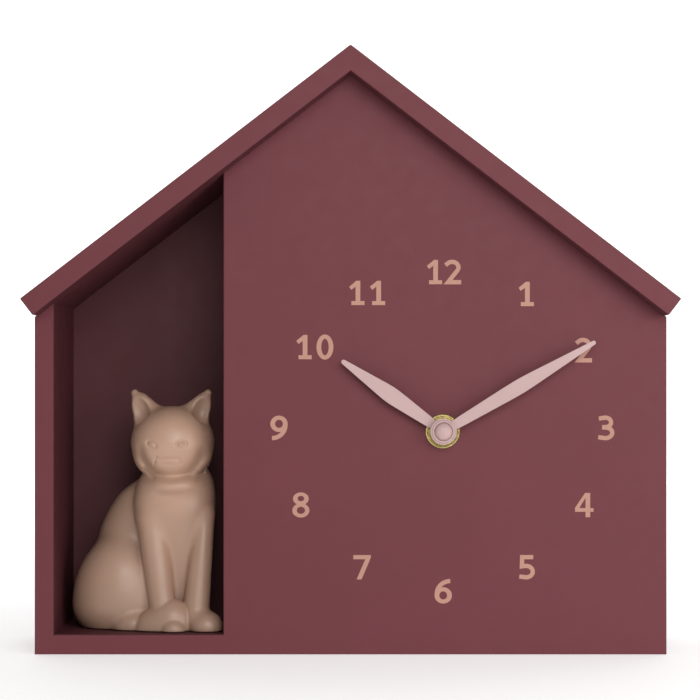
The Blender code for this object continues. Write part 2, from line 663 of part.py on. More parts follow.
def case_outline(inset=0.0, bottom=-CASE_BELOW_SHAFT):
    half, top = CASE_SIZE / 2, CASE_SIZE - CASE_BELOW_SHAFT
    return rounded_rectangle(inset - half, bottom + inset, half - inset, top - inset, 0.0034 - inset)


def build_movement_case():
    """Front shell with its walls, the wall above the battery bay, and the threaded hollow bush."""
    centre = xz(DIAL)
    inner_wall = CASE_FRONT_Y + CASE_WALL
    shell = plate("movement_case", [case_outline(), circle(0.0034)], (CASE_FRONT_Y, inner_wall),
                  BLACK_PLASTIC, centre)
    walls = plate("movement_case_walls", [case_outline(0.00002), case_outline(CASE_WALL)],
                  (inner_wall - 0.0006, CASE_REAR_Y), BLACK_PLASTIC, centre)
    boolean(shell, walls, "UNION")
    inside = CASE_SIZE / 2 - CASE_WALL / 2
    bay_wall = rounded_rectangle(-inside, BAY_WALL_TOP - 0.001, inside, BAY_WALL_TOP, 0.0002, 1)
    bay = plate("movement_case_bay", [bay_wall], (inner_wall - 0.0005, CASE_REAR_Y - 0.0002), BLACK_PLASTIC,
                centre)
    boolean(shell, bay, "UNION")
    bush = ring("movement_case_bush", BUSH_BORE, BUSH_RADIUS, BUSH_END_Y, inner_wall - 0.0002, BLACK_PLASTIC,
                centre)
    boolean(shell, bush, "UNION")
    for name, place in (("setting", SETTING), ("third", THIRD), ("intermediate", STEP), ("rotor", ROTOR)):
        hole = rod(name + "_front_pivot_hole", PIVOT_HOLE, inner_wall - 0.0009, inner_wall + 0.0005,
                   BLACK_PLASTIC, xz(place), 12)
        boolean(shell, hole, "DIFFERENCE")

    stud = rod("motion_wheel_stud", STUD_RADIUS, inner_wall - 0.0005, MOTION_LAYER[1] + 0.0002, BLACK_PLASTIC,
               xz(MOTION), 16)
    boolean(shell, stud, "UNION")

    knob_hole = circle(0.0018, 20, xz(SETTING - DIAL))
    cover = plate("movement_cover", [case_outline(0, BAY_WALL_TOP - 0.001), knob_hole], COVER_LAYER,
                  BLACK_PLASTIC, centre)
    hole = rod("rotor_rear_pivot_hole", PIVOT_HOLE, COVER_LAYER[0] - 0.0005, COVER_LAYER[0] + 0.0009,
               BLACK_PLASTIC, xz(ROTOR), 12)
    boolean(cover, hole, "DIFFERENCE")


def build_bridge():
    """The plate behind the train, with the rear pivot holes; the motor lies on it."""
    inset = CASE_WALL + GAP
    outline = case_outline(inset, BAY_WALL_TOP)
    low_top = 0.0172
    outline = [(x, min(z, low_top)) for x, z in outline]
    outline = [p for i, p in enumerate(outline) if p != outline[i - 1]]
    pivots = [circle(PIVOT_HOLE, 12, xz(place - DIAL)) for place in (THIRD, STEP)]
    pivots.append(circle(PIVOT_HOLE, 12))
    pivots.append(circle(0.0012, 12, xz(ROTOR - DIAL)))
    pivots.append(circle(0.0016, 16, xz(SETTING - DIAL)))
    plate("train_plate", [outline, *pivots], BRIDGE_LAYER, WHITE_PLASTIC, xz(DIAL))


def build_motor():
    """Stepping motor: the rotor's magnet turns between the stator's poles, which the coil drives."""
    rotor = xz(ROTOR - DIAL)
    left, right = -0.0110, 0.0245
    low, high = rotor[1] - 0.0042, rotor[1] + 0.0042
    stator = rounded_rectangle(left, low, right, high, 0.0010, 2)
    plate("stator", [stator, circle(0.0031, 24, rotor)], STATOR_LAYER, STEEL, xz(DIAL))
    arm, bar = 0.0036, 0.0011
    core = [(left, low + 0.002), (left + arm, low + 0.002), (left + arm, COIL_HEIGHT - bar),
            (right - arm, COIL_HEIGHT - bar), (right - arm, low + 0.002), (right, low + 0.002),
            (right, COIL_HEIGHT + bar), (left, COIL_HEIGHT + bar)]
    plate("coil_core", [core], CORE_LAYER, STEEL, xz(DIAL))

    coil_y = sum(CORE_LAYER) / 2
    start, end = left + arm + 0.0008, right - arm - 0.0008
    flange, cheek = COIL_RADIUS, 0.0009
    wound = [(flange, start), (flange, start + cheek), (0.0018, start + cheek), (0.0018, end - cheek),
             (flange, end - cheek), (flange, end)]
    bobbin = around_x("coil_bobbin", wound, BLACK_PLASTIC, coil_y)
    coil_z, play = DIAL.z + COIL_HEIGHT, 0.0002
    slot = box("coil_bobbin_slot", (DIAL.x + start - 0.001, CORE_LAYER[0] - play, coil_z - bar - play),
               (DIAL.x + end + 0.001, CORE_LAYER[1] + play, coil_z + bar + play), BLACK_PLASTIC)
    boolean(bobbin, slot, "DIFFERENCE")
    winding = [(COIL_RADIUS - 0.0003, start + cheek + 0.0002), (COIL_RADIUS - 0.0003, end - cheek - 0.0002),
               (0.0020, end - cheek - 0.0002), (0.0020, start + cheek + 0.0002)]
    around_x("coil_winding", winding, COPPER, coil_y, closed=True)


def around_x(name, profile, material, y, closed=False, height=COIL_HEIGHT, segments=24):
    """A body of revolution about a line along X; profile lists (radius, x) from left to right."""
    points = [(radius, 0, -x) for radius, x in profile]
    if not closed:
        points = [(0, 0, -profile[0][1]), *points, (0, 0, -profile[-1][1])]
    return spun(name, points, material, (DIAL.x, y, DIAL.z + height), (0, -math.pi / 2, 0), closed, segments)


def build_electronics():
    left, low = -0.0258, -0.0105
    board = rounded_rectangle(left, low, left + 0.0200, low + 0.0235, 0.0006, 1)
    plate("circuit_board", [board], BOARD_LAYER, CIRCUIT_GREEN, xz(DIAL))
    behind_bridge = BRIDGE_LAYER[1] + GAP
    chip_front = BOARD_LAYER[0] - 0.0012
    x, z = DIAL.x + left, DIAL.z + low
    box("driver_chip", (x + 0.004, chip_front, z + 0.004), (x + 0.010, BOARD_LAYER[0] - 0.0002, z + 0.009),
        BLACK_PLASTIC)
    crystal_y = (behind_bridge + BOARD_LAYER[0]) / 2
    can = [(0.0010, left + 0.0050), (0.0010, left + 0.0115)]
    around_x("quartz_crystal", can, STEEL, crystal_y, height=low + 0.0155, segments=16)


def build_fixing():
    """What clamps the movement to the front panel: rubber behind it, a brass washer and nut before it."""
    centre = xz(DIAL)
    panel_back = FACE_Y + FACE_THICKNESS
    ring("rubber_washer", BUSH_RADIUS + GAP, 0.0090, panel_back + GAP, CASE_FRONT_Y - GAP, RUBBER, centre)
    ring("brass_washer", BUSH_RADIUS + GAP, 0.0066, FACE_Y - GAP - 0.0006, FACE_Y - GAP, BRASS, centre, 40)
    nut_back = FACE_Y - GAP - 0.0006 - 0.0002
    nut_front = nut_back - 0.0021
    rim = knurled(0.0057, 0.0054, 36, (0, 1))
    plate("shaft_nut", [rim, circle(BUSH_RADIUS + 0.0002, 24)], (nut_front, nut_back), BRASS, centre)


def battery_place():
    """Centre line of the battery in its bay: (y, height above the shaft)."""
    y = CASE_FRONT_Y + CASE_WALL + GAP + BATTERY_RADIUS
    height = -CASE_BELOW_SHAFT + CASE_WALL + 0.0004 + BATTERY_RADIUS
    return y, height


def build_battery():
    y, height = battery_place()
    start = -0.0248
    end = start + BATTERY_LENGTH
    shoulder = end - 0.0014
    can = [(0.0060, start), (BATTERY_RADIUS, start + 0.0005), (BATTERY_RADIUS, shoulder - 0.0005),
           (0.0066, shoulder), (0.0027, shoulder), (0.0027, end - 0.0002), (0.0024, end)]
    around_x("battery", can, BATTERY_LABEL, y, height=height, segments=28)

    wall = CASE_SIZE / 2 - CASE_WALL
    low, high = DIAL.z + height - 0.0045, DIAL.z + height + 0.0045
    positive = box("positive_contact", (DIAL.x + wall - 0.0006, y - 0.0045, low),
                   (DIAL.x + wall - 0.0002, y + 0.0045, high), BRASS)
    round_edges(positive, 0.0001, 1)
    spring = spring_strip(wall)
    negative = plate("negative_contact", [spring], (-0.0040, 0.0040), STEEL)
    negative.rotation_euler = (0, 0, 0)
    negative.location = (DIAL.x, y, DIAL.z + height)


def spring_strip(wall, thickness=0.0003):
    """Outline in X and Y of a strip that lies on the bay's end wall and bows towards the battery."""
    base = -wall + 0.0002
    bow = [(base + 0.0010 * math.sin(math.pi * i / 10), 0.0045 - 0.009 * i / 10) for i in range(11)]
    back = [(x + thickness, y) for x, y in bow]
    return bow + list(reversed(back))


# ---------------------------------------------------------------- build

clear_scene()
PARTS = new_collection("cat_clock")
CUTTERS = new_collection("cutters")

PAINTED_BOARD = new_material("painted_board", (0.19, 0.055, 0.065), 0.65)
CAT_RESIN = new_material("cat_resin", (0.42, 0.28, 0.20), 0.60)
HAND_PAINT = new_material("hand_paint", (0.66, 0.44, 0.40), 0.50)
BRASS = new_material("brass", (0.78, 0.58, 0.28), 0.28, 1.0)
STEEL = new_material("steel", (0.58, 0.58, 0.60), 0.35, 1.0)
COPPER = new_material("copper_wire", (0.60, 0.24, 0.12), 0.40, 1.0)
MAGNET = new_material("magnet", (0.10, 0.10, 0.11), 0.55, 0.6)
RUBBER = new_material("rubber", (0.03, 0.03, 0.03), 0.80)
BLACK_PLASTIC = new_material("black_plastic", (0.02, 0.02, 0.022), 0.45)
WHITE_PLASTIC = new_material("white_plastic", (0.80, 0.80, 0.76), 0.40)
CIRCUIT_GREEN = new_material("circuit_board", (0.02, 0.18, 0.07), 0.45)
BATTERY_LABEL = new_material("battery_label", (0.05, 0.08, 0.16), 0.35)
FOAM_TAPE = new_material("foam_tape", (0.75, 0.75, 0.72), 0.90)

build_front_panel()
build_boards()
build_back_panel()
build_hanger()
build_cat()
build_hands()
build_cap()
build_fixing()
build_movement_case()
build_bridge()
build_motion_work()
build_train()
build_motor()
build_electronics()
build_battery()
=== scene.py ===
"""The looks of the house-shaped cat clock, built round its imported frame.

Metres, +Z up, dial towards -Y. Every piece rides on a body of the frame.
"""

import json
import math

import bmesh
import bpy
import numpy as np
import openvdb
from mathutils import Matrix, Vector


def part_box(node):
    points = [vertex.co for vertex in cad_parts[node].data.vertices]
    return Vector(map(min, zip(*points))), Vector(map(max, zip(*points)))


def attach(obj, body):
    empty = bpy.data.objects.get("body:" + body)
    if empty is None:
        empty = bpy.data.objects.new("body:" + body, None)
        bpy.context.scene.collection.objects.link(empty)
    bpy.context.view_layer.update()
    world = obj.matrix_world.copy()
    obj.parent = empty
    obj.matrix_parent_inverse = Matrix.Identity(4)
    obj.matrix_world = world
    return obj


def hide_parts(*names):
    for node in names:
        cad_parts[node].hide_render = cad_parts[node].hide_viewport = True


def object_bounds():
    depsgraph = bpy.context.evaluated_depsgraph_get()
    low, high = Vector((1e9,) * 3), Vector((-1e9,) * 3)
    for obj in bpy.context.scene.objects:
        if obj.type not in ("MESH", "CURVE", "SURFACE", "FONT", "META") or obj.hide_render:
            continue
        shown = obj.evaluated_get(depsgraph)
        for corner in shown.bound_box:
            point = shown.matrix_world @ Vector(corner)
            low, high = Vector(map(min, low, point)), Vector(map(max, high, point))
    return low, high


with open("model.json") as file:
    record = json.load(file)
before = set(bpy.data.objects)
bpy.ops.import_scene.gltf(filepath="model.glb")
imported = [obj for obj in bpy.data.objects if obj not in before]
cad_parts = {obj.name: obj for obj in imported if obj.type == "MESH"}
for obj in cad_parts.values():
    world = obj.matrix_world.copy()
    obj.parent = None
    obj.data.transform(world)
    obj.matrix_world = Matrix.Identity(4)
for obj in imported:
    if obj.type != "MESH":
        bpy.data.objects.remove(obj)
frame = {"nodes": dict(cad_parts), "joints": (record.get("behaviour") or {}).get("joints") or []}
NODES = frame["nodes"]
CAD_BOX = [list(corner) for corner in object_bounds()]
CASE_MIDDLE = tuple((low + high) / 2 for low, high in zip(*CAD_BOX))
MM = 0.001

# ---------------------------------------------------------------- colours, linear red, green and blue

BURGUNDY = (0.140, 0.0312, 0.0402)
RESIN = (0.450, 0.280, 0.200)
CREAM = (0.520, 0.358, 0.350)
NUMERAL = (0.475, 0.250, 0.190)
BRASS = (0.680, 0.560, 0.220)
STEEL = (0.560, 0.560, 0.570)
COPPER = (0.620, 0.230, 0.110)
BLACK = (0.020, 0.020, 0.022)
ACETAL = (0.780, 0.770, 0.730)
BOARD_GREEN = (0.015, 0.150, 0.060)
SOFT_BLACK = (0.030, 0.030, 0.030)
SLEEVE_DARK = (0.012, 0.016, 0.030)
SLEEVE_LIGHT = (0.022, 0.028, 0.048)
SLEEVE_END = (0.480, 0.190, 0.080)
MAGNET_DARK = (0.060, 0.060, 0.065)
MAGNET_LIGHT = (0.130, 0.130, 0.140)
FOAM_DARK = (0.500, 0.500, 0.470)
FOAM_LIGHT = (0.720, 0.720, 0.690)
FLOOR = (0.900, 0.898, 0.895)

# ---------------------------------------------------------------- materials


class Nodes:
    """A short way to write a material's node tree."""

    def __init__(self, name):
        self.material = bpy.data.materials.new(name)
        self.material.use_nodes = True
        self.tree = self.material.node_tree
        self.shader = self.tree.nodes["Principled BSDF"]

    def add(self, kind, inputs=None, **settings):
        """A new node; each input is a value or another node's socket."""
        node = self.tree.nodes.new("ShaderNode" + kind)
        for key, value in settings.items():
            setattr(node, key, value)
        for key, value in (inputs or {}).items():
            if isinstance(value, bpy.types.NodeSocket):
                self.tree.links.new(value, node.inputs[key])
            else:
                node.inputs[key].default_value = value
        return node

    def place(self):
        """Position on the object, in metres in the frame's own axes."""
        return self.add("TexCoord").outputs["Object"]

    def noise(self, scale, detail=3.0, roughness=0.5, vector=None):
        """Noise from 0 to 1; scale is about how many lumps there are to the metre."""
        inputs = {"Vector": vector or self.place(), "Scale": scale, "Detail": detail,
                  "Roughness": roughness}
        return self.add("TexNoise", inputs).outputs["Fac"]

    def blend(self, factor, first, second):
        """The first colour where the factor is 0, the second where it is 1."""
        node = self.add("Mix", data_type="RGBA")
        self.tree.links.new(factor, node.inputs["Factor"])
        for socket, colour in (("A", first), ("B", second)):
            target = [s for s in node.inputs if s.name == socket and s.type == "RGBA"][0]
            if isinstance(colour, bpy.types.NodeSocket):
                self.tree.links.new(colour, target)
            else:
                target.default_value = (*colour, 1.0)
        return [s for s in node.outputs if s.type == "RGBA"][0]

    def spread(self, value, low, high, to_low=0.0, to_high=1.0):
        """The stretch from low to high, mapped onto another and held at its ends."""
        inputs = {"Value": value, "From Min": low, "From Max": high, "To Min": to_low, "To Max": to_high}
        return self.add("MapRange", inputs).outputs["Result"]

    def colour(self, socket):
        self.tree.links.new(socket, self.shader.inputs["Base Color"])

    def roughness(self, socket):
        self.tree.links.new(socket, self.shader.inputs["Roughness"])

    def bump(self, height, strength, distance):
        node = self.add("Bump", {"Height": height, "Strength": strength, "Distance": distance})
        self.tree.links.new(node.outputs["Normal"], self.shader.inputs["Normal"])

    def fixed(self, **values):
        """Sets inputs of the shader itself, under their own names."""
        for key, value in values.items():
            name = key.replace("_", " ").title().replace("Ior", "IOR")
            self.shader.inputs[name].default_value = value
        return self


def shade(colour, factor):
    """The colour made darker or lighter by a factor."""
    return tuple(min(1.0, c * factor) for c in colour)


def matt_paint(name, colour, peel_scale=1400, mottle=0.02, roughness=(0.55, 0.62), inside=1.0):
    """Sprayed paint: a faint mottling and a fine orange peel.

    Where inside is under 1, surfaces that look into the case are that much darker: painted shade,
    standing in for the shade inside the niche.
    """
    nodes = Nodes(name).fixed(specular_ior_level=0.3)
    cloud = nodes.spread(nodes.noise(28, 4.0), 0.35, 0.65)
    coat_and_shade = nodes.blend(cloud, shade(colour, 1 - mottle), shade(colour, 1 + mottle))
    # Painted shade: surfaces that look into the case get a darker colour.
    if inside < 1:
        coat_and_shade = nodes.blend(facing_in(nodes), coat_and_shade, shade(colour, inside))
    nodes.colour(coat_and_shade)
    nodes.roughness(nodes.spread(nodes.noise(160, 3.0), 0.3, 0.7, *roughness))
    nodes.bump(nodes.noise(peel_scale, 2.0), 0.12, 0.12 * MM)
    return nodes.material


def facing_in(nodes):
    """1 on a surface that looks towards the middle of the case, 0 on one that looks away; the mask of the
    painted shade inside the case.
    """
    margin = 0.5 * MM
    coordinates = nodes.add("TexCoord")
    inputs = {0: coordinates.outputs["Object"], 1: CASE_MIDDLE}
    outward = nodes.add("VectorMath", inputs, operation="SUBTRACT")
    inputs = {0: coordinates.outputs["Normal"], 1: outward.outputs["Vector"]}
    facing = nodes.add("VectorMath", inputs, operation="DOT_PRODUCT").outputs["Value"]
    return nodes.spread(facing, margin, -margin)


def resin(name):
    """Matt cast resin with a powdery speckle; painted shade makes it darker towards its back and its
    foot, for the shade deep in the niche.
    """
    nodes = Nodes(name).fixed(specular_ior_level=0.5)
    cloud = nodes.spread(nodes.noise(60, 4.0, 0.6), 0.3, 0.7)
    place = nodes.add("SeparateXYZ", {"Vector": nodes.place()})
    # Painted shade: darker towards the foot (by height) and much darker towards the back (by depth).
    height = nodes.spread(place.outputs["Z"], 10 * MM, 75 * MM)
    depth = nodes.spread(place.outputs["Y"], -11.5 * MM, 2 * MM)
    even = nodes.blend(cloud, shade(RESIN, 1.02), shade(RESIN, 1.10))
    front = nodes.blend(height, shade(RESIN, 0.80), even)
    nodes.colour(nodes.blend(depth, front, shade(RESIN, 0.62)))
    nodes.roughness(nodes.spread(nodes.noise(300, 2.0), 0.3, 0.7, 0.34, 0.44))
    nodes.bump(nodes.noise(2600, 3.0, 0.6), 0.10, 0.08 * MM)
    return nodes.material


def metal(name, colour, roughness=(0.22, 0.38), scale=900, stretch=(1, 1, 1)):
    """Metal with fine uneven polish; stretch draws the marks out along an axis."""
    nodes = Nodes(name).fixed(metallic=1.0)
    mapped = nodes.add("Mapping", {"Vector": nodes.place(), "Scale": stretch}).outputs["Vector"]
    marks = nodes.noise(scale, 4.0, 0.6, mapped)
    nodes.colour(nodes.blend(nodes.spread(marks, 0.3, 0.7), shade(colour, 0.88), shade(colour, 1.08)))
    nodes.roughness(nodes.spread(marks, 0.3, 0.7, *roughness))
    nodes.bump(marks, 0.02, 0.03 * MM)
    return nodes.material


def plastic(name, colour, roughness=(0.36, 0.50), grain=1800, depth=0.15):
    """Moulded plastic with a fine spark-eroded grain; depth is how strongly the grain shows."""
    nodes = Nodes(name)
    tint = nodes.spread(nodes.noise(90, 2.0), 0.3, 0.7)
    nodes.colour(nodes.blend(tint, shade(colour, 0.92), shade(colour, 1.08)))
    surface = nodes.noise(grain, 2.0)
    nodes.roughness(nodes.spread(surface, 0.3, 0.7, *roughness))
    nodes.bump(surface, depth, 0.06 * MM)
    return nodes.material


def wound_wire(name):
    """Enamelled wire in close turns along X; the darker bands between the turns are painted shade in the
    grooves.
    """
    nodes = Nodes(name).fixed(metallic=0.9)
    turns = nodes.add("TexWave", {"Vector": nodes.place(), "Scale": 1500.0, "Distortion": 0.4},
                      bands_direction="X").outputs["Fac"]
    nodes.colour(nodes.blend(turns, shade(COPPER, 0.55), COPPER))
    nodes.roughness(nodes.spread(turns, 0, 1, 0.45, 0.28))
    nodes.bump(turns, 0.5, 0.10 * MM)
    return nodes.material


def battery_sleeve(name):
    """A plain printed sleeve: dark body, copper-coloured end, bare steel terminals."""
    low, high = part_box("battery")
    copper_length, button_height, rim_height = 14.4 * MM, 1.85 * MM, 0.75 * MM
    nodes = Nodes(name)
    along = nodes.add("SeparateXYZ", {"Vector": nodes.place()}).outputs["X"]

    def beyond(edge, softness):
        return nodes.spread(along, edge - softness, edge + softness)

    scuffs = nodes.noise(420, 5.0, 0.65)
    sleeve = nodes.blend(nodes.spread(scuffs, 0.3, 0.7), SLEEVE_DARK, SLEEVE_LIGHT)
    printed = nodes.blend(beyond(high.x - copper_length, 0.10 * MM), sleeve, SLEEVE_END)
    bare_right = beyond(high.x - button_height, 0.05 * MM)
    bare_left = beyond(low.x + rim_height, -0.05 * MM)
    bare = nodes.add("Math", {0: bare_right, 1: bare_left}, operation="MAXIMUM").outputs["Value"]
    nodes.colour(nodes.blend(bare, printed, STEEL))
    nodes.tree.links.new(bare, nodes.shader.inputs["Metallic"])
    nodes.roughness(nodes.spread(scuffs, 0.3, 0.7, 0.22, 0.36))
    nodes.bump(scuffs, 0.05, 0.05 * MM)
    return nodes.material


def circuit(name):
    """Solder mask over faint straight tracks."""
    nodes = Nodes(name)
    tracks = nodes.add("TexBrick", {"Vector": nodes.place(), "Scale": 260.0, "Mortar Size": 0.06,
                                    "Mortar Smooth": 0.2}).outputs["Fac"]
    nodes.colour(nodes.blend(tracks, BOARD_GREEN, shade(BOARD_GREEN, 2.2)))
    nodes.roughness(nodes.spread(nodes.noise(500), 0.3, 0.7, 0.30, 0.45))
    nodes.bump(tracks, 0.3, 0.05 * MM)
    return nodes.material


def foam(name):
    """Foam tape with open cells, the cells' middles darker as painted shade in the pores."""
    nodes = Nodes(name)
    cells = nodes.add("TexVoronoi", {"Vector": nodes.place(), "Scale": 2400.0}).outputs["Distance"]
    nodes.colour(nodes.blend(cells, FOAM_DARK, FOAM_LIGHT))
    nodes.roughness(nodes.spread(cells, 0, 1, 0.80, 0.95))
    nodes.bump(cells, 0.4, 0.10 * MM)
    return nodes.material


def sintered(name):
    """A pressed and sintered magnet, dark and grainy."""
    nodes = Nodes(name).fixed(metallic=0.6)
    grain = nodes.noise(1500, 4.0, 0.7)
    nodes.colour(nodes.blend(nodes.spread(grain, 0.3, 0.7), MAGNET_DARK, MAGNET_LIGHT))
    nodes.roughness(nodes.spread(grain, 0.3, 0.7, 0.45, 0.65))
    nodes.bump(grain, 0.3, 0.08 * MM)
    return nodes.material


# The paper's glow: how strong it is, and the Y values between which it comes up.
NEAR_GLOW = (0.42, -0.45, -0.15)
FAR_GLOW = (0.33, 0.05, 0.60)


def studio_paper(name):
    """White paper that glows under the object, and more so behind it."""
    nodes = Nodes(name)
    cloud = nodes.noise(3.0, 2.0)
    nodes.colour(nodes.blend(cloud, shade(FLOOR, 0.985), FLOOR))
    nodes.roughness(nodes.spread(cloud, 0, 1, 0.75, 0.85))
    nodes.shader.inputs["Emission Color"].default_value = (1.0, 1.0, 1.0, 1.0)
    depth = nodes.add("SeparateXYZ", {"Vector": nodes.place()}).outputs["Y"]
    near, far = (nodes.spread(depth, start, full, 0.0, strength)
                 for strength, start, full in (NEAR_GLOW, FAR_GLOW))
    glow = nodes.add("Math", {0: near, 1: far}, operation="ADD").outputs["Value"]
    nodes.tree.links.new(glow, nodes.shader.inputs["Emission Strength"])
    return nodes.material


# The boards' paint, with painted shade on the faces that look into the case (inside=0.62).
PAINT = matt_paint("burgundy_paint", BURGUNDY, inside=0.62)
HAND_PAINT = matt_paint("cream_paint", CREAM, peel_scale=2600, mottle=0.03, roughness=(0.42, 0.54))
PRINT = matt_paint("numeral_ink", NUMERAL, peel_scale=3000, mottle=0.04, roughness=(0.55, 0.68))
CAT_RESIN = resin("cat_resin")
BRASS_METAL = metal("brass", BRASS, (0.16, 0.30))
STEEL_METAL = metal("steel", STEEL, (0.28, 0.44), 700, (1, 1, 6))
BLACK_PLASTIC = plastic("black_plastic", BLACK)
WHITE_PLASTIC = plastic("acetal", ACETAL, (0.30, 0.42), 1200, 0.08)
RUBBER = plastic("rubber", SOFT_BLACK, (0.70, 0.85), 2400, 0.25)

CARRIED = {
    HAND_PAINT: ["hour_hand", "minute_hand"],
    BRASS_METAL: ["positive_contact"],
    STEEL_METAL: ["hanger_plate", "hanger_screw_left", "hanger_screw_right", "stator", "coil_core",
                  "quartz_crystal", "negative_contact"],
    BLACK_PLASTIC: ["movement_case", "movement_cover", "setting_knob", "coil_bobbin", "driver_chip"],
    WHITE_PLASTIC: ["train_plate", "hour_wheel", "minute_arbor", "motion_wheel", "setting_arbor",
                    "centre_wheel", "third_wheel", "seconds_wheel", "intermediate_wheel", "rotor_pinion"],
    RUBBER: ["rubber_washer"],
    wound_wire("copper_wire"): ["coil_winding"],
    sintered("magnet"): ["rotor_magnet"],
    circuit("circuit_board"): ["circuit_board"],
    battery_sleeve("battery_sleeve"): ["battery"],
    foam("foam_tape"): ["cat_adhesive_pad"],
}


HAND_EDGE = 0.12 * MM  # radius of the hands' softened edge


def dress_frame():
    """Gives each carried-over node its material, and the hands a softened edge."""
    for material, names in CARRIED.items():
        for name in names:
            slots = NODES[name].material_slots
            if not slots:
                NODES[name].data.materials.append(material)
            for slot in slots:
                slot.material = material
    for name in CARRIED[HAND_PAINT]:
        edge = NODES[name].modifiers.new("edge", "BEVEL")
        edge.width = HAND_EDGE
        edge.segments = 2
        edge.limit_method = "ANGLE"
        edge.angle_limit = math.radians(50)


# ---------------------------------------------------------------- pieces


def add_piece(name, mesh, material, body, replaced=()):
    """Puts a mesh in the scene as a piece that rides on a body, in place of the nodes it replaces."""
    piece = bpy.data.objects.new(name, mesh)
    bpy.context.scene.collection.objects.link(piece)
    mesh.materials.clear()
    mesh.materials.append(material)
    bpy.context.view_layer.update()
    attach(piece, body)
    if replaced:
        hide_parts(*replaced)
    return piece


def flat_mesh(name, outlines, front, back):
    """A plate between two Y values, from closed (x, z) outlines; the first is the outer one."""
    curve = bpy.data.curves.new(name, "CURVE")
    curve.dimensions = "2D"
    curve.fill_mode = "BOTH"
    curve.extrude = (back - front) / 2
    for outline in outlines:
        spline = curve.splines.new("POLY")
        spline.points.add(len(outline) - 1)
        spline.use_cyclic_u = True
        for point, (x, z) in zip(spline.points, outline):
            point.co = (x, z, 0, 1)
    guide = bpy.data.objects.new(name, curve)
    bpy.context.scene.collection.objects.link(guide)
    bpy.context.view_layer.update()
    graph = bpy.context.evaluated_depsgraph_get()
    mesh = bpy.data.meshes.new_from_object(guide.evaluated_get(graph))
    bpy.data.objects.remove(guide)
    mesh.transform(Matrix.Rotation(math.pi / 2, 4, "X"))
    mesh.transform(Matrix.Translation((0, (front + back) / 2, 0)))
    bm = bmesh.new()
    bm.from_mesh(mesh)
    bmesh.ops.remove_doubles(bm, verts=bm.verts, dist=1e-7)
    bmesh.ops.recalc_face_normals(bm, faces=bm.faces)
    bm.to_mesh(mesh)
    bm.free()
    return mesh


# ---------------------------------------------------------------- boards

ROOF_SLOPE = 0.7687  # rise over run
RIDGE_HEIGHT = 0.2340  # where the slopes of the two roof boards meet
ROOF_THICKNESS = 0.0080
EAVE = 0.12604  # from the middle to the roof's edge
CREST = 0.0004  # half the width of the flat along the ridge
SUNK = 0.0006  # how far a glued board's end reaches into the board above it
EASE = 0.0004  # radius of a board's rounded edge
SHAFT_HOLE = 0.0043  # radius
SCREW_HOLE = 0.0015  # radius
WINDOW_HALF, WINDOW_BELOW, WINDOW_ABOVE = 0.034, 0.036, 0.032  # the movement's opening, about the shaft
HOOK_HALF, HOOK_REACH = 0.0065, 0.009  # half the width and half the height of the room for a hook
SEAM = 1e-6  # how closely a corner has to lie in a plane

ROOF_LOW, ROOF_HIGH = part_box("right_roof_board")
FACE_LOW, FACE_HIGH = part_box("front_panel")
SIDE_LOW, SIDE_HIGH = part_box("right_side_board")
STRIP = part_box("left_side_board")[1].x
BASE_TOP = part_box("base_board")[1].z
DIVIDER_LOW, DIVIDER_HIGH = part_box("divider_board")
PANEL_LOW, PANEL_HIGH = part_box("back_panel")
SHAFT = Vector(next(j for j in frame["joints"] if j["name"] == "minute_hand_turn")["pos_m"])


def roof_top(x):
    """Height of the roof's upper surface."""
    return RIDGE_HEIGHT - ROOF_SLOPE * abs(x)


def roof_underside(x):
    """Height of the roof's lower surface."""
    return roof_top(x) - ROOF_THICKNESS * math.hypot(1, ROOF_SLOPE)


def board_top(x):
    """Where a board's upper end stops, just inside the roof board."""
    return roof_underside(x) + SUNK


def round_hole(centre, radius, count=64):
    """Outline of a round hole, as (x, z) pairs."""
    turns = [2 * math.pi * i / count for i in range(count)]
    return [(centre[0] + radius * math.cos(t), centre[1] + radius * math.sin(t)) for t in turns]


def add_board(name, outlines, layer, is_eased):
    """A painted board that takes the place of its plain node; is_eased picks the edges to round.

    layer holds the Y values of the board's front and back.
    """
    mesh = flat_mesh(name + "_painted", outlines, *layer)
    bm = bmesh.new()
    bm.from_mesh(mesh)
    bmesh.ops.dissolve_limit(bm, angle_limit=0.01, verts=bm.verts, edges=bm.edges)
    sharp = [e for e in bm.edges if e.calc_face_angle(0) > 0.5]
    rim = [e for e in sharp if is_eased([v.co for v in e.verts])]
    bmesh.ops.bevel(bm, geom=rim, offset=EASE, segments=3, profile=0.5, affect="EDGES")
    bm.to_mesh(mesh)
    bm.free()
    mesh.shade_flat()
    return add_piece(name + "_painted", mesh, PAINT, "case", [name])


def at_y(value):
    """A test for the edges that lie at one Y value from end to end."""
    return lambda corners: all(abs(corner.y - value) < SEAM for corner in corners)


def build_roof():
    """Two boards mitred together at the ridge, with every outer edge rounded."""
    steepness = math.atan(ROOF_SLOPE)
    drip = (EAVE - ROOF_THICKNESS * math.sin(steepness),
            roof_top(EAVE) - ROOF_THICKNESS * math.cos(steepness))
    outline = [(0, ROOF_HIGH.z), (CREST, roof_top(CREST)), (EAVE, roof_top(EAVE)), drip,
               (0, roof_underside(0))]
    for side, name in ((-1, "left_roof_board"), (1, "right_roof_board")):
        add_board(name, [[(side * x, z) for x, z in outline]], (ROOF_LOW.y, ROOF_HIGH.y),
                  lambda corners: any(abs(corner.x) > 2 * CREST for corner in corners))


def build_front_panel():
    """The face and the strip left of the niche, cut from one sheet."""
    half, notch = FACE_HIGH.x, DIVIDER_LOW.x
    outline = [(-half, 0), (half, 0), (half, board_top(half)), (0, board_top(0)),
               (notch, board_top(notch)), (notch, BASE_TOP), (STRIP, BASE_TOP),
               (STRIP, board_top(STRIP)), (-half, board_top(half))]
    hole = round_hole((SHAFT.x, SHAFT.z), SHAFT_HOLE)
    add_board("front_panel", [outline, hole], (FACE_LOW.y, FACE_HIGH.y), at_y(FACE_LOW.y))


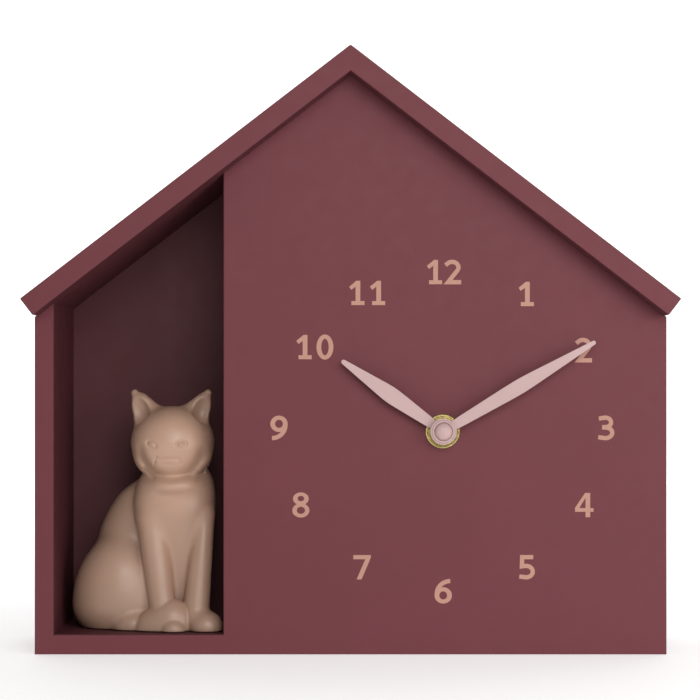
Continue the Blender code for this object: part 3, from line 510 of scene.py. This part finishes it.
def build_uprights():
    """Both sides and the divider, from the face's back to the wall or to the back panel."""
    inside, outside = SIDE_LOW.x, SIDE_HIGH.x
    rows = (("left_side_board", -outside, -inside, 0, ROOF_HIGH.y),
            ("right_side_board", inside, outside, 0, ROOF_HIGH.y),
            ("divider_board", DIVIDER_LOW.x, DIVIDER_HIGH.x, BASE_TOP, PANEL_LOW.y))
    for name, left, right, foot, back in rows:
        outline = [(left, foot), (right, foot), (right, board_top(right)), (left, board_top(left))]
        add_board(name, [outline], (FACE_HIGH.y, back), at_y(ROOF_HIGH.y))


def build_base():
    """The board under the niche and the movement, between the side boards."""
    outline = [(STRIP, 0), (SIDE_LOW.x, 0), (SIDE_LOW.x, BASE_TOP), (STRIP, BASE_TOP)]
    add_board("base_board", [outline], (FACE_HIGH.y, ROOF_HIGH.y), at_y(ROOF_HIGH.y))


def rounded_rectangle(left, bottom, right, top, radius, steps=8):
    """Outline of an upright rectangle with round corners, as (x, z) pairs."""
    corners = ((right - radius, top - radius, 0), (left + radius, top - radius, 90),
               (left + radius, bottom + radius, 180), (right - radius, bottom + radius, 270))
    outline = []
    for x, z, start in corners:
        turns = [math.radians(start + 90 * i / steps) for i in range(steps + 1)]
        outline += [(x + radius * math.cos(t), z + radius * math.sin(t)) for t in turns]
    return outline


def build_back_panel():
    """Set in between the boards, with the movement's window, room for a hook, and screw holes."""
    half = SIDE_LOW.x
    outline = [(-half, BASE_TOP), (half, BASE_TOP), (half, board_top(half)), (0, board_top(0)),
               (-half, board_top(half))]
    window = rounded_rectangle(SHAFT.x - WINDOW_HALF, SHAFT.z - WINDOW_BELOW,
                               SHAFT.x + WINDOW_HALF, SHAFT.z + WINDOW_ABOVE, 0.004)
    plate_low, plate_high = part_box("hanger_plate")
    middle = (plate_low.z + plate_high.z) / 2
    hook_room = rounded_rectangle(-HOOK_HALF, middle - HOOK_REACH, HOOK_HALF, middle + HOOK_REACH, 0.003)
    holes = []
    for name in ("hanger_screw_left", "hanger_screw_right"):
        low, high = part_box(name)
        holes.append(round_hole(((low.x + high.x) / 2, middle), SCREW_HOLE, 24))
    add_board("back_panel", [outline, window, hook_room, *holes], (PANEL_LOW.y, PANEL_HIGH.y),
              lambda corners: False)


# ---------------------------------------------------------------- numerals

DIGIT_UNIT = 0.376 * MM  # one unit of the digit drawings
DIGIT_HEIGHT = 25  # units
DIGIT_WIDTH = 18  # units, of a 6 or a 9
STROKE = 4.4  # units


def arc(centre, radii, start, end, steps=24):
    """Points along an ellipse, angles in degrees."""
    points = []
    for i in range(steps + 1):
        turn = math.radians(start + (end - start) * i / steps)
        points.append((centre[0] + radii[0] * math.cos(turn), centre[1] + radii[1] * math.sin(turn)))
    return points


def ellipse(centre, radii):
    """A whole ellipse, whose last point stops one step short of its first."""
    return arc(centre, radii, 0, 352.5, 47)


def ribbon(path):
    """Outline of a stroke with mitred bends and square ends; a very sharp mitre is cut short."""
    left, right = [], []
    points = [Vector(p) for p in path]
    for i, point in enumerate(points):
        before = (point - points[i - 1]).normalized() if i else None
        after = (points[i + 1] - point).normalized() if i + 1 < len(points) else None
        before, after = before or after, after or before
        along = (before + after).normalized()
        across = Vector((-along.y, along.x))
        mitre = STROKE / 2 / max(0.35, across.dot(Vector((-before.y, before.x))))
        left.append(tuple(point + across * mitre))
        right.append(tuple(point - across * mitre))
    return left + right[::-1]


def digit_shapes(digit):
    """The digit as a list of shapes to be joined, each a list of an outline and its holes."""
    if digit == 0:
        return [[ellipse((8.7, 12.5), (8.7, 12.9)), ellipse((8.7, 12.5), (3.8, 8.6))]]
    if digit == 1:
        return [[[(0, 0), (13.5, 0), (13.5, 4.1), (9.2, 4.1), (9.2, 25), (5.2, 25), (-2.3, 18.8),
                  (0, 15.7), (4.3, 18.9), (4.3, 4.1), (0, 4.1)]]]
    if digit == 2:
        bend = arc((7.9, 17.3), (6.5, 5.7), 150, -30)
        return [[ribbon([(1.0, 19.6), *bend[2:], (3.7, 2.05), (17.2, 2.05)])]]
    if digit == 3:
        upper = [(1.2, 22.2), *arc((7.7, 18.3), (6.1, 4.9), 105, -80)[2:], (4.6, 13.35)]
        lower = [(4.6, 13.25), *arc((7.8, 7.6), (7.2, 5.55), 82, -95)[2:], (0.6, 3.1)]
        return [[ribbon(upper)], [ribbon(lower)]]
    if digit == 4:
        outline = [(10.8, 0), (15.6, 0), (15.6, 5.6), (19, 5.6), (19, 9.4), (15.6, 9.4), (15.6, 25),
                   (10.4, 25), (0, 9.6), (0, 5.6), (10.8, 5.6)]
        return [[outline, [(10.8, 9.4), (10.8, 19.9), (4.3, 9.4)]]]
    if digit == 5:
        bowl = arc((7.6, 8.0), (6.9, 5.9), 118, -112)
        return [[ribbon([(15.0, 22.9), (3.6, 22.9), (3.3, 13.4), *bowl[2:], (0.7, 2.9)])]]
    if digit == 6:
        ring = [ellipse((9, 8.2), (8.9, 8.4)), ellipse((9, 8.2), (4.0, 4.2))]
        return [ring, [ribbon(arc((16.2, 9.6), (13.8, 13.3), 90, 180))]]
    if digit == 7:
        return [[[(0, 25), (18, 25), (18, 22.4), (8.6, 0), (3.4, 0), (12.4, 20.7), (0, 20.7)]]]
    if digit == 8:
        upper = [ellipse((8.8, 19.0), (8.1, 6.5)), ellipse((8.8, 19.2), (3.4, 2.8))]
        lower = [ellipse((8.8, 7.0), (8.8, 7.3)), ellipse((8.8, 7.1), (4.2, 3.7))]
        return [upper, lower]
    # What is left is the 9, a 6 turned half round.
    return [[[(DIGIT_WIDTH - x, DIGIT_HEIGHT - y) for x, y in outline] for outline in shape]
            for shape in digit_shapes(6)]


def digit_ends(digit):
    """The digit's left and right ends, in units."""
    xs = [x for shape in digit_shapes(digit) for x, _ in shape[0]]
    return min(xs), max(xs)


KERNING = {10: 5.0, 11: 5.5, 12: 1.5}  # units between an hour's two digits
HOUR_RING = (63.2 * MM, 61.7 * MM)  # radii across and upwards
NUDGES = {1: (0.7, -0.3), 2: (-0.4, 0.55), 3: (0, 1.3), 4: (0, 2.35), 5: (1.0, 0.9), 6: (0.2, -0.1),
          7: (0.4, 0.9), 8: (-0.1, 2.35), 9: (-0.1, 1.3), 10: (5.3, 1.75), 11: (2.4, 0.1),
          12: (0.5, -0.1)}  # each hour's place in millimetres, from the even ring
INK = 0.05 * MM  # how far the film stands out of the face, and as far again into it


def hour_shapes(hour):
    """The hour's digits side by side, and their width together."""
    pen, shapes = 0.0, []
    for digit in [int(c) for c in str(hour)]:
        start, end = digit_ends(digit)
        for shape in digit_shapes(digit):
            shapes.append([[(pen + x - start, y) for x, y in outline] for outline in shape])
        pen += end - start + KERNING.get(hour, 0)
    return shapes, pen - KERNING.get(hour, 0)


def build_numerals():
    """Each hour's digits as a thin film of ink on the face; where strokes cross, one lies above."""
    for hour in range(1, 13):
        shapes, width = hour_shapes(hour)
        turn = math.radians(30 * hour)
        nudge = NUDGES[hour]
        centre = (SHAFT.x + HOUR_RING[0] * math.sin(turn) + nudge[0] * MM,
                  SHAFT.z + HOUR_RING[1] * math.cos(turn) + nudge[1] * MM)
        bm = bmesh.new()
        for i, shape in enumerate(shapes):
            placed = [[(centre[0] + (x - width / 2) * DIGIT_UNIT,
                        centre[1] + (y - DIGIT_HEIGHT / 2) * DIGIT_UNIT)
                       for x, y in outline] for outline in shape]
            front = FACE_LOW.y - INK * (1 + 0.15 * i)
            bm.from_mesh(flat_mesh(f"stroke_{hour}_{i}", placed, front, FACE_LOW.y + INK))
        mesh = bpy.data.meshes.new(f"numeral_{hour}")
        bm.to_mesh(mesh)
        bm.free()
        add_piece(f"numeral_{hour}", mesh, PRINT, "case")


# ---------------------------------------------------------------- hub


def lathe(profile, count=96, ridge=lambda i, radius: radius):
    """A turned body about the shaft's line from (radius, y) pairs.

    ridge may change the radius at each of the count steps round the body.
    """
    points, faces = [], []
    for i in range(count):
        turn = 2 * math.pi * i / count
        for radius, y in profile:
            cut = ridge(i, radius)
            points.append((SHAFT.x + cut * math.cos(turn), y, SHAFT.z + cut * math.sin(turn)))
    rows = len(profile)
    for i in range(count):
        for j in range(rows - 1):
            a, b = i * rows + j, (i + 1) % count * rows + j
            faces.append((a, a + 1, b + 1, b))
    mesh = bpy.data.meshes.new("turned")
    mesh.from_pydata(points, [], faces)
    bm = bmesh.new()
    bm.from_mesh(mesh)
    bmesh.ops.remove_doubles(bm, verts=bm.verts, dist=1e-6)
    bmesh.ops.recalc_face_normals(bm, faces=bm.faces)
    bm.to_mesh(mesh)
    bm.free()
    mesh.shade_smooth()
    mesh.set_sharp_from_angle(angle=math.radians(32))
    return mesh


def build_cap():
    """The minute hand's collar: a dome in a ringed rim."""
    low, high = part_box("minute_cap")
    front, back = low.y, high.y
    rim, dome, socket = high.x - SHAFT.x, 3.35 * MM, 1.85 * MM
    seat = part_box("minute_hand")[0].y - 0.3 * MM
    step = seat - 0.7 * MM
    turns = [math.pi / 2 * i / 14 for i in range(15)]
    profile = [(dome * math.sin(turn), step - (step - front) * math.cos(turn)) for turn in turns]
    rings = ((3.40, 0.25), (3.55, 0.25), (3.60, -0.25), (3.70, -0.32), (4.22, -0.32), (4.30, -0.22),
             (4.36, 0.10), (4.46, 0.10), (4.52, -0.10))  # radius, and depth behind the dome's foot
    profile += [(radius * MM, step + depth * MM) for radius, depth in rings]
    profile += [(rim - 0.10 * MM, step - 0.08 * MM), (rim, step + 0.05 * MM), (rim, seat),
                (socket, seat), (socket, back - 1.5 * MM), (0, back - 1.5 * MM)]
    add_piece("cap_turned", lathe(profile), HAND_PAINT, "minute", ["minute_cap"])


def build_washer():
    """The brass washer with its rolled rim."""
    low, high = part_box("brass_washer")
    outer, bore = high.x - SHAFT.x, 4.3 * MM
    profile = [(bore, high.y), (bore, low.y + 0.15 * MM), (outer - 0.75 * MM, low.y + 0.15 * MM),
               (outer - 0.62 * MM, low.y), (outer - 0.15 * MM, low.y), (outer, low.y + 0.15 * MM),
               (outer, high.y), (bore, high.y)]
    add_piece("washer_turned", lathe(profile), BRASS_METAL, "case", ["brass_washer"])


def build_nut():
    """The knurled nut that clamps the washer: two steps of every four round it are cut back."""
    low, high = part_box("shaft_nut")
    outer, bore = high.x - SHAFT.x, 4.2 * MM
    profile = [(bore, high.y), (bore, low.y + 0.2 * MM), (bore + 0.2 * MM, low.y),
               (outer - 0.35 * MM, low.y), (outer, low.y + 0.35 * MM), (outer, high.y - 0.2 * MM),
               (outer - 0.2 * MM, high.y), (bore, high.y)]

    def knurl(i, radius):
        return radius - (0.24 * MM if i % 4 in (1, 2) and radius > outer - 0.3 * MM else 0)

    add_piece("nut_turned", lathe(profile, 240, knurl), BRASS_METAL, "case", ["shaft_nut"])


# ---------------------------------------------------------------- cat

CAT_GRID = 0.45  # millimetres between samples of the figurine's form


def ellipsoid(space, centre, radii, tilt=0.0):
    """Distance to an ellipsoid, tilted about Y by so many degrees, clockwise from the front.

    radii are along x, y and z; a fourth is the height above the centre, the third then the depth below.
    """
    x, y, z = (axis - middle for axis, middle in zip(space, centre))
    turn = math.radians(tilt)
    x, z = x * math.cos(turn) - z * math.sin(turn), x * math.sin(turn) + z * math.cos(turn)
    tall = np.where(z > 0, radii[-1], radii[2])
    near = np.sqrt((x / radii[0]) ** 2 + (y / radii[1]) ** 2 + (z / tall) ** 2)
    slope = np.sqrt((x / radii[0] ** 2) ** 2 + (y / radii[1] ** 2) ** 2 + (z / tall ** 2) ** 2)
    return near * (near - 1) / np.maximum(slope, 1e-6)


def limb(space, start, end, start_radius, end_radius, flatness=1.0):
    """Distance to a tapering limb with round ends; flatness above 1 thins it front to back."""
    start, end = np.array(start, np.float32), np.array(end, np.float32)
    along = end - start
    offset = [axis - middle for axis, middle in zip(space, start)]
    share = np.clip(sum(o * a for o, a in zip(offset, along)) / float(along @ along), 0, 1)
    x, y, z = (o - share * a for o, a in zip(offset, along))
    y = y * flatness
    return np.sqrt(x * x + y * y + z * z) - (start_radius + (end_radius - start_radius) * share)


def column(space, rows, squareness=2.3):
    """Distance to a standing body given by rows of (z, left, right, front, back), lowest first."""
    x, y, z = space
    heights = [row[0] for row in rows]
    level = z[0, 0]
    left, right, front, back = (smooth_rows(level, heights, [row[i] for row in rows])
                                for i in range(1, 5))
    across, along = (right - left) / 2, (back - front) / 2
    u = np.abs(x - (left + right) / 2) / across
    v = np.abs(y - (front + back) / 2) / along
    near = (u ** squareness + v ** squareness) ** (1 / squareness)
    walls = (near - 1) * np.minimum(across, along)
    ends = np.maximum(z - heights[-1], heights[0] - z)
    return np.maximum(walls, ends)


def smooth_rows(level, heights, values):
    """A smooth curve through the values given at some heights, read at each level."""
    slopes = np.gradient(values, heights)
    i = np.clip(np.searchsorted(heights, level) - 1, 0, len(heights) - 2)
    start, end = np.array(heights)[i], np.array(heights)[i + 1]
    first, last = np.array(values)[i], np.array(values)[i + 1]
    span = end - start
    t = np.clip((level - start) / span, 0, 1)
    cubic = (2 * t ** 3 - 3 * t ** 2 + 1) * first + (3 * t ** 2 - 2 * t ** 3) * last
    cubic += (t ** 3 - 2 * t ** 2 + t) * span * slopes[i] + (t ** 3 - t ** 2) * span * slopes[i + 1]
    return cubic.astype(np.float32)


def melt(first, second, softness):
    """Union of two distances with a fillet."""
    overlap = np.maximum(softness - np.abs(first - second), 0) / softness
    return np.minimum(first, second) - overlap * overlap * softness / 4


def carve(body, tool, softness):
    """One distance cut out of another, with a rounded edge."""
    return -melt(-body, tool, softness)


# Millimetres from the middle of the niche's floor under the cat: x to the right, y to the back, z up.
CAT_BASE = -0.9  # underside of the casting
HEAD_X = 11.5  # middle of the head
FACE_X = 10.7  # middle of the mouth
EYE_X, EYE_Z, EYE_SPAN = 10.1, 72.1, 5.9  # the eyes' middle and height, and half the way between them
# Rows of height, left, right, front and back, as column takes them.
BACK_ROWS = ((-2, -25.0, 6, -4, 17), (2.5, -27.6, 7, -5, 18), (10, -27.0, 8, -6, 19),
             (20, -24.5, 10, -6, 19), (34, -19.6, 12, -4.6, 17), (40.2, -17.6, 13, -4.2, 15.5),
             (47.4, -13.8, 14, -3.6, 13.5), (53, -9.4, 14, -3.0, 11.5), (58, -2.5, 14, -2, 10))
CHEST_ROWS = ((-2, 7.5, 26.0, -8.2, 12), (8, 5.5, 25.2, -8.8, 12), (18, 3.4, 24.8, -9.2, 12),
              (30, 0.4, 26.2, -10.2, 12), (40, -3.0, 27.6, -12.7, 12), (47, -4.3, 28.3, -14.4, 11.5),
              (54.0, -3.4, 28.1, -13.2, 10.5), (60, -1.0, 26.2, -9.6, 9.5), (66, 1.5, 22.5, -7.0, 8))


def cat_body(space):
    """Rump and back at the left rear, chest and forelegs at the right front."""
    haunch = ellipsoid(space, (-9.8, -0.5, 8.6), (19.0, 13.4, 15.0, 26.6))
    rear = melt(column(space, BACK_ROWS, 2.1), haunch, 3.6)
    rear = melt(rear, ellipsoid(space, (-4.0, -9.9, 0.6), (8.0, 5.8, 5.6), -8), 2.2)
    left_leg = limb(space, (3.6, -6.7, 42), (8.3, -12.2, 4), 6.2, 4.9)
    right_leg = limb(space, (24.4, -7.0, 44), (21.0, -12.2, 4), 3.8, 5.3)
    front = melt(melt(column(space, CHEST_ROWS, 2.4), left_leg, 2.2), right_leg, 2.2)
    collar = ellipsoid(space, (12.2, -4.2, 55.4), (13.2, 12.8, 5.0))
    return melt(rear, melt(front, collar, 3.4), 1.4)


def cat_feet(space):
    """The right paw, and the tail's end curled round the left one."""
    paw = ellipsoid(space, (25.4, -14.6, 0.6), (6.7, 6.4, 6.2))
    curl = melt(ellipsoid(space, (11.6, -12.8, 1.6), (9.0, 6.8, 9.9)),
                ellipsoid(space, (4.0, -12.6, -2.0), (7.6, 5.8, 8.8)), 4)
    toe = ellipsoid(space, (12.6, -17.6, -1.2), (5.0, 4.0, 5.1))
    return paw, melt(curl, toe, 0.5)


def cat_head(space):
    """A round head whose crown sags between wide-set ears, a raised face and a ruff under it."""
    head = ellipsoid(space, (11.4, -3.4, 72.6), (16.6, 12.4, 15.4, 14.4))
    ruff = ellipsoid(space, (HEAD_X, -6.4, 66.6), (14.6, 9.8, 9.5))
    bib = ellipsoid(space, (12.2, -7.8, 56.6), (9.6, 9.0, 5.4))
    head = melt(melt(head, ruff, 3.0), bib, 2.0)
    for side, lean in ((-1, 1.3), (1, -0.2)):
        foot = (HEAD_X + side * (6.3 + lean), -2.8, 79.4)
        tip = (HEAD_X + side * (14.0 + lean), -3.0, 92.1)
        blade = ellipsoid(space, (HEAD_X + side * (10.5 + lean), -3.0, 87.4), (4.4, 3.3, 4.6))
        head = melt(head, melt(limb(space, foot, tip, 8.8, 1.5, 1.3), blade, 1.5), 1.6)
    crown = ellipsoid(space, (11.2, 0.0, 101.6), (14.4, 40.0, 14.4))
    head = carve(head, crown, 1.2)
    for side, lean in ((-1, 1.0), (1, 0.0)):
        middle = (HEAD_X + side * (12.6 + lean), -8.7, 85.6)
        head = carve(head, ellipsoid(space, middle, (4.7, 4.8, 7.4), side * 26), 1.0)
    mask = ellipsoid(space, (11.2, -10.8, 71.0), (12.2, 8.4, 12.2))
    rise = np.clip((space[2] - 64.0) / 9.0, 0, 1)
    return melt(head, mask, 1.2 + 6.0 * rise * rise * (3 - 2 * rise))


def cat_form(space):
    """The whole figurine, flat below, with a recess for its adhesive pad."""
    gap = 0.4  # round the pad
    paw, curl = cat_feet(space)
    form = melt(melt(cat_body(space), paw, 2.2), curl, 0.4)
    form = melt(form, cat_head(space), 1.4)
    pad_low, pad_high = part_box("cat_adhesive_pad")
    low, high = (np.array(corner) / MM - cat_origin() / MM for corner in (pad_low, pad_high))
    inside = [np.maximum(axis - b - gap, a - gap - axis) for axis, a, b in zip(space, low, high)]
    recess = np.maximum(np.maximum(inside[0], inside[1]), inside[2])
    return np.maximum(np.maximum(form, CAT_BASE - space[2]), -recess)


def cat_origin():
    """The point that the figurine's millimetres are measured from."""
    return np.array(((STRIP + DIVIDER_LOW.x) / 2, 0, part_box("cat_figurine")[0].z))


def near_mark(points, start, end):
    """Distance in the XZ plane from each point to a straight mark."""
    start, end = np.array(start), np.array(end)
    along = end - start
    flat = points[:, [0, 2]] - start
    share = np.clip(flat @ along / (along @ along), 0, 1)
    return np.linalg.norm(flat - share[:, None] * along, axis=1)


# Straight marks, in x and z: where each starts and ends, how deep it is and how wide to each side.
MOUTH = (((FACE_X - 3.8, 66.3), (FACE_X + 3.8, 66.3), 0.34, 0.55),
         ((FACE_X - 4.7, 67.0), (FACE_X - 5.7, 64.4), 0.60, 0.42),
         ((FACE_X + 4.3, 66.0), (FACE_X + 5.0, 64.4), 0.48, 0.42),
         ((FACE_X - 1.4, 64.2), (FACE_X + 1.6, 64.2), 0.20, 0.60))
NECK = (((FACE_X - 10.0, 61.8), (FACE_X - 6.4, 59.0), 0.80, 0.90),
        ((FACE_X + 15.6, 63.8), (FACE_X + 11.4, 59.0), 0.80, 0.90))


def eye_depth(points, side):
    """An eye: a ring pressed in round a small raised middle, tilted a little."""
    x, z = points[:, 0] - (EYE_X + side * EYE_SPAN), points[:, 2] - EYE_Z
    z = z - (side * 0.20 - 0.10) * x
    ring = np.sqrt((x / 1.75) ** 2 + (z / 1.15) ** 2)
    rim = (0.62 + side * 0.14) * np.exp(-(((ring - 1) * 1.3) / 0.42) ** 2)
    return rim - 0.20 * np.exp(-(ring / 0.6) ** 2)


def crease_depth(points):
    """The crease on an oval round the face, from cheek to chin to cheek, gone above the eyes."""
    middle, radii, deep, wide, top, fading = (11.6, 71.0), (12.3, 12.2), 1.45, 1.7, 73.0, 5.0
    x, z = (points[:, 0] - middle[0]) / radii[0], (points[:, 2] - middle[1]) / radii[1]
    away = (np.sqrt(x * x + z * z) - 1) * 12.0
    return deep * np.exp(-(away / wide) ** 2) * np.clip((top - points[:, 2]) / fading, 0, 1)


def engrave_face(points):
    """Presses the eyes, the mouth, the cheeks' crease and the folds at the neck into the head."""
    face = (points[:, 1] < -6) & (points[:, 2] > 54)
    depth = np.zeros(len(points))
    for start, end, deep, wide in MOUTH + NECK:
        depth += deep * np.exp(-(near_mark(points, start, end) / wide) ** 2)
    for side in (-1, 1):
        depth += eye_depth(points, side)
    depth += crease_depth(points)
    points[face, 1] += depth[face]


def build_cat():
    """The cast figurine, in place of its plain stand-in."""
    low, high = (-33, -24, -2.5), (33, 24, 98)
    outside = 10.0  # distance in the cells that the block doesn't reach
    axes = [np.arange(a, b, CAT_GRID, dtype=np.float32) for a, b in zip(low, high)]
    space = np.meshgrid(*axes, indexing="ij")
    grid = openvdb.FloatGrid(outside)
    grid.copyFromArray(np.ascontiguousarray(cat_form(space), dtype=np.float32))
    points, faces = grid.convertToQuads(0.0)
    points = points * CAT_GRID + np.array(low)
    engrave_face(points)
    points = points * MM + cat_origin()
    mesh = bpy.data.meshes.new("cat")
    mesh.from_pydata(points.tolist(), [], faces.tolist())
    bm = bmesh.new()
    bm.from_mesh(mesh)
    bmesh.ops.recalc_face_normals(bm, faces=bm.faces)
    bm.to_mesh(mesh)
    bm.free()
    mesh.shade_smooth()
    return add_piece("cat", mesh, CAT_RESIN, "case", ["cat_figurine"])


# ---------------------------------------------------------------- studio


CAMERA_DISTANCE = 0.810  # in front of the roof's front edge
CAMERA_HEIGHT = 0.1023


def area_light(name, place, target, size, power, colour):
    """A square soft lamp that looks from its place at a target."""
    lamp = bpy.data.lights.new(name, "AREA")
    lamp.size = size
    lamp.energy = power
    lamp.color = colour
    holder = bpy.data.objects.new(name, lamp)
    holder.location = place
    holder.rotation_euler = (Vector(target) - Vector(place)).to_track_quat("-Z", "Y").to_euler()
    bpy.context.scene.collection.objects.link(holder)


def build_studio():
    """White paper rolled down a wall and out under the object, even soft light and two lamps."""
    mesh = bpy.data.meshes.new("paper")
    half, front, wall, height, bend = 3.0, -3.0, 1.8, 3.0, 0.3
    turns = [math.pi / 2 * i / 12 for i in range(13)]
    profile = [(front, 0), (-0.45, 0), (-0.12, 0)]
    profile += [(wall - bend + bend * math.sin(t), bend - bend * math.cos(t)) for t in turns]
    profile += [(wall, height)]
    points = [(x, y, z) for y, z in profile for x in (-half, half)]
    faces = [(2 * i, 2 * i + 1, 2 * i + 3, 2 * i + 2) for i in range(len(profile) - 1)]
    mesh.from_pydata(points, [], faces)
    paper = bpy.data.objects.new("paper", mesh)
    bpy.context.scene.collection.objects.link(paper)
    mesh.materials.append(studio_paper("studio_paper"))

    world = bpy.data.worlds.new("studio")
    world.use_nodes = True
    background = world.node_tree.nodes["Background"]
    background.inputs["Color"].default_value = (1.0, 1.0, 1.0, 1.0)
    background.inputs["Strength"].default_value = 0.30
    bpy.context.scene.world = world
    bpy.context.scene.view_settings.view_transform = "Standard"
    area_light("key", (0.10, -0.80, 0.37), (0.02, 0.0, 0.11), 0.36, 2.7, (1.0, 0.99, 0.975))
    area_light("side", (0.50, -0.60, 0.20), (0.05, 0.0, 0.11), 0.40, 1.75, (1.0, 0.985, 0.98))


def build_camera():
    """Level, a little below half the clock's height, and shifted up to have the clock in the middle."""
    camera = bpy.data.cameras.new("camera")
    camera.sensor_width = 36.0
    camera.lens = 109.4
    camera.shift_x = -0.0009
    camera.shift_y = 0.0571
    camera.clip_start = 0.01
    holder = bpy.data.objects.new("camera", camera)
    holder.location = (0.0, ROOF_LOW.y - CAMERA_DISTANCE, CAMERA_HEIGHT)
    holder.rotation_euler = (math.pi / 2, 0, 0)
    bpy.context.scene.collection.objects.link(holder)
    bpy.context.scene.camera = holder


build_camera()
dress_frame()
build_roof()
build_front_panel()
build_uprights()
build_base()
build_back_panel()
build_numerals()
build_cap()
build_washer()
build_nut()
build_cat()
build_studio()
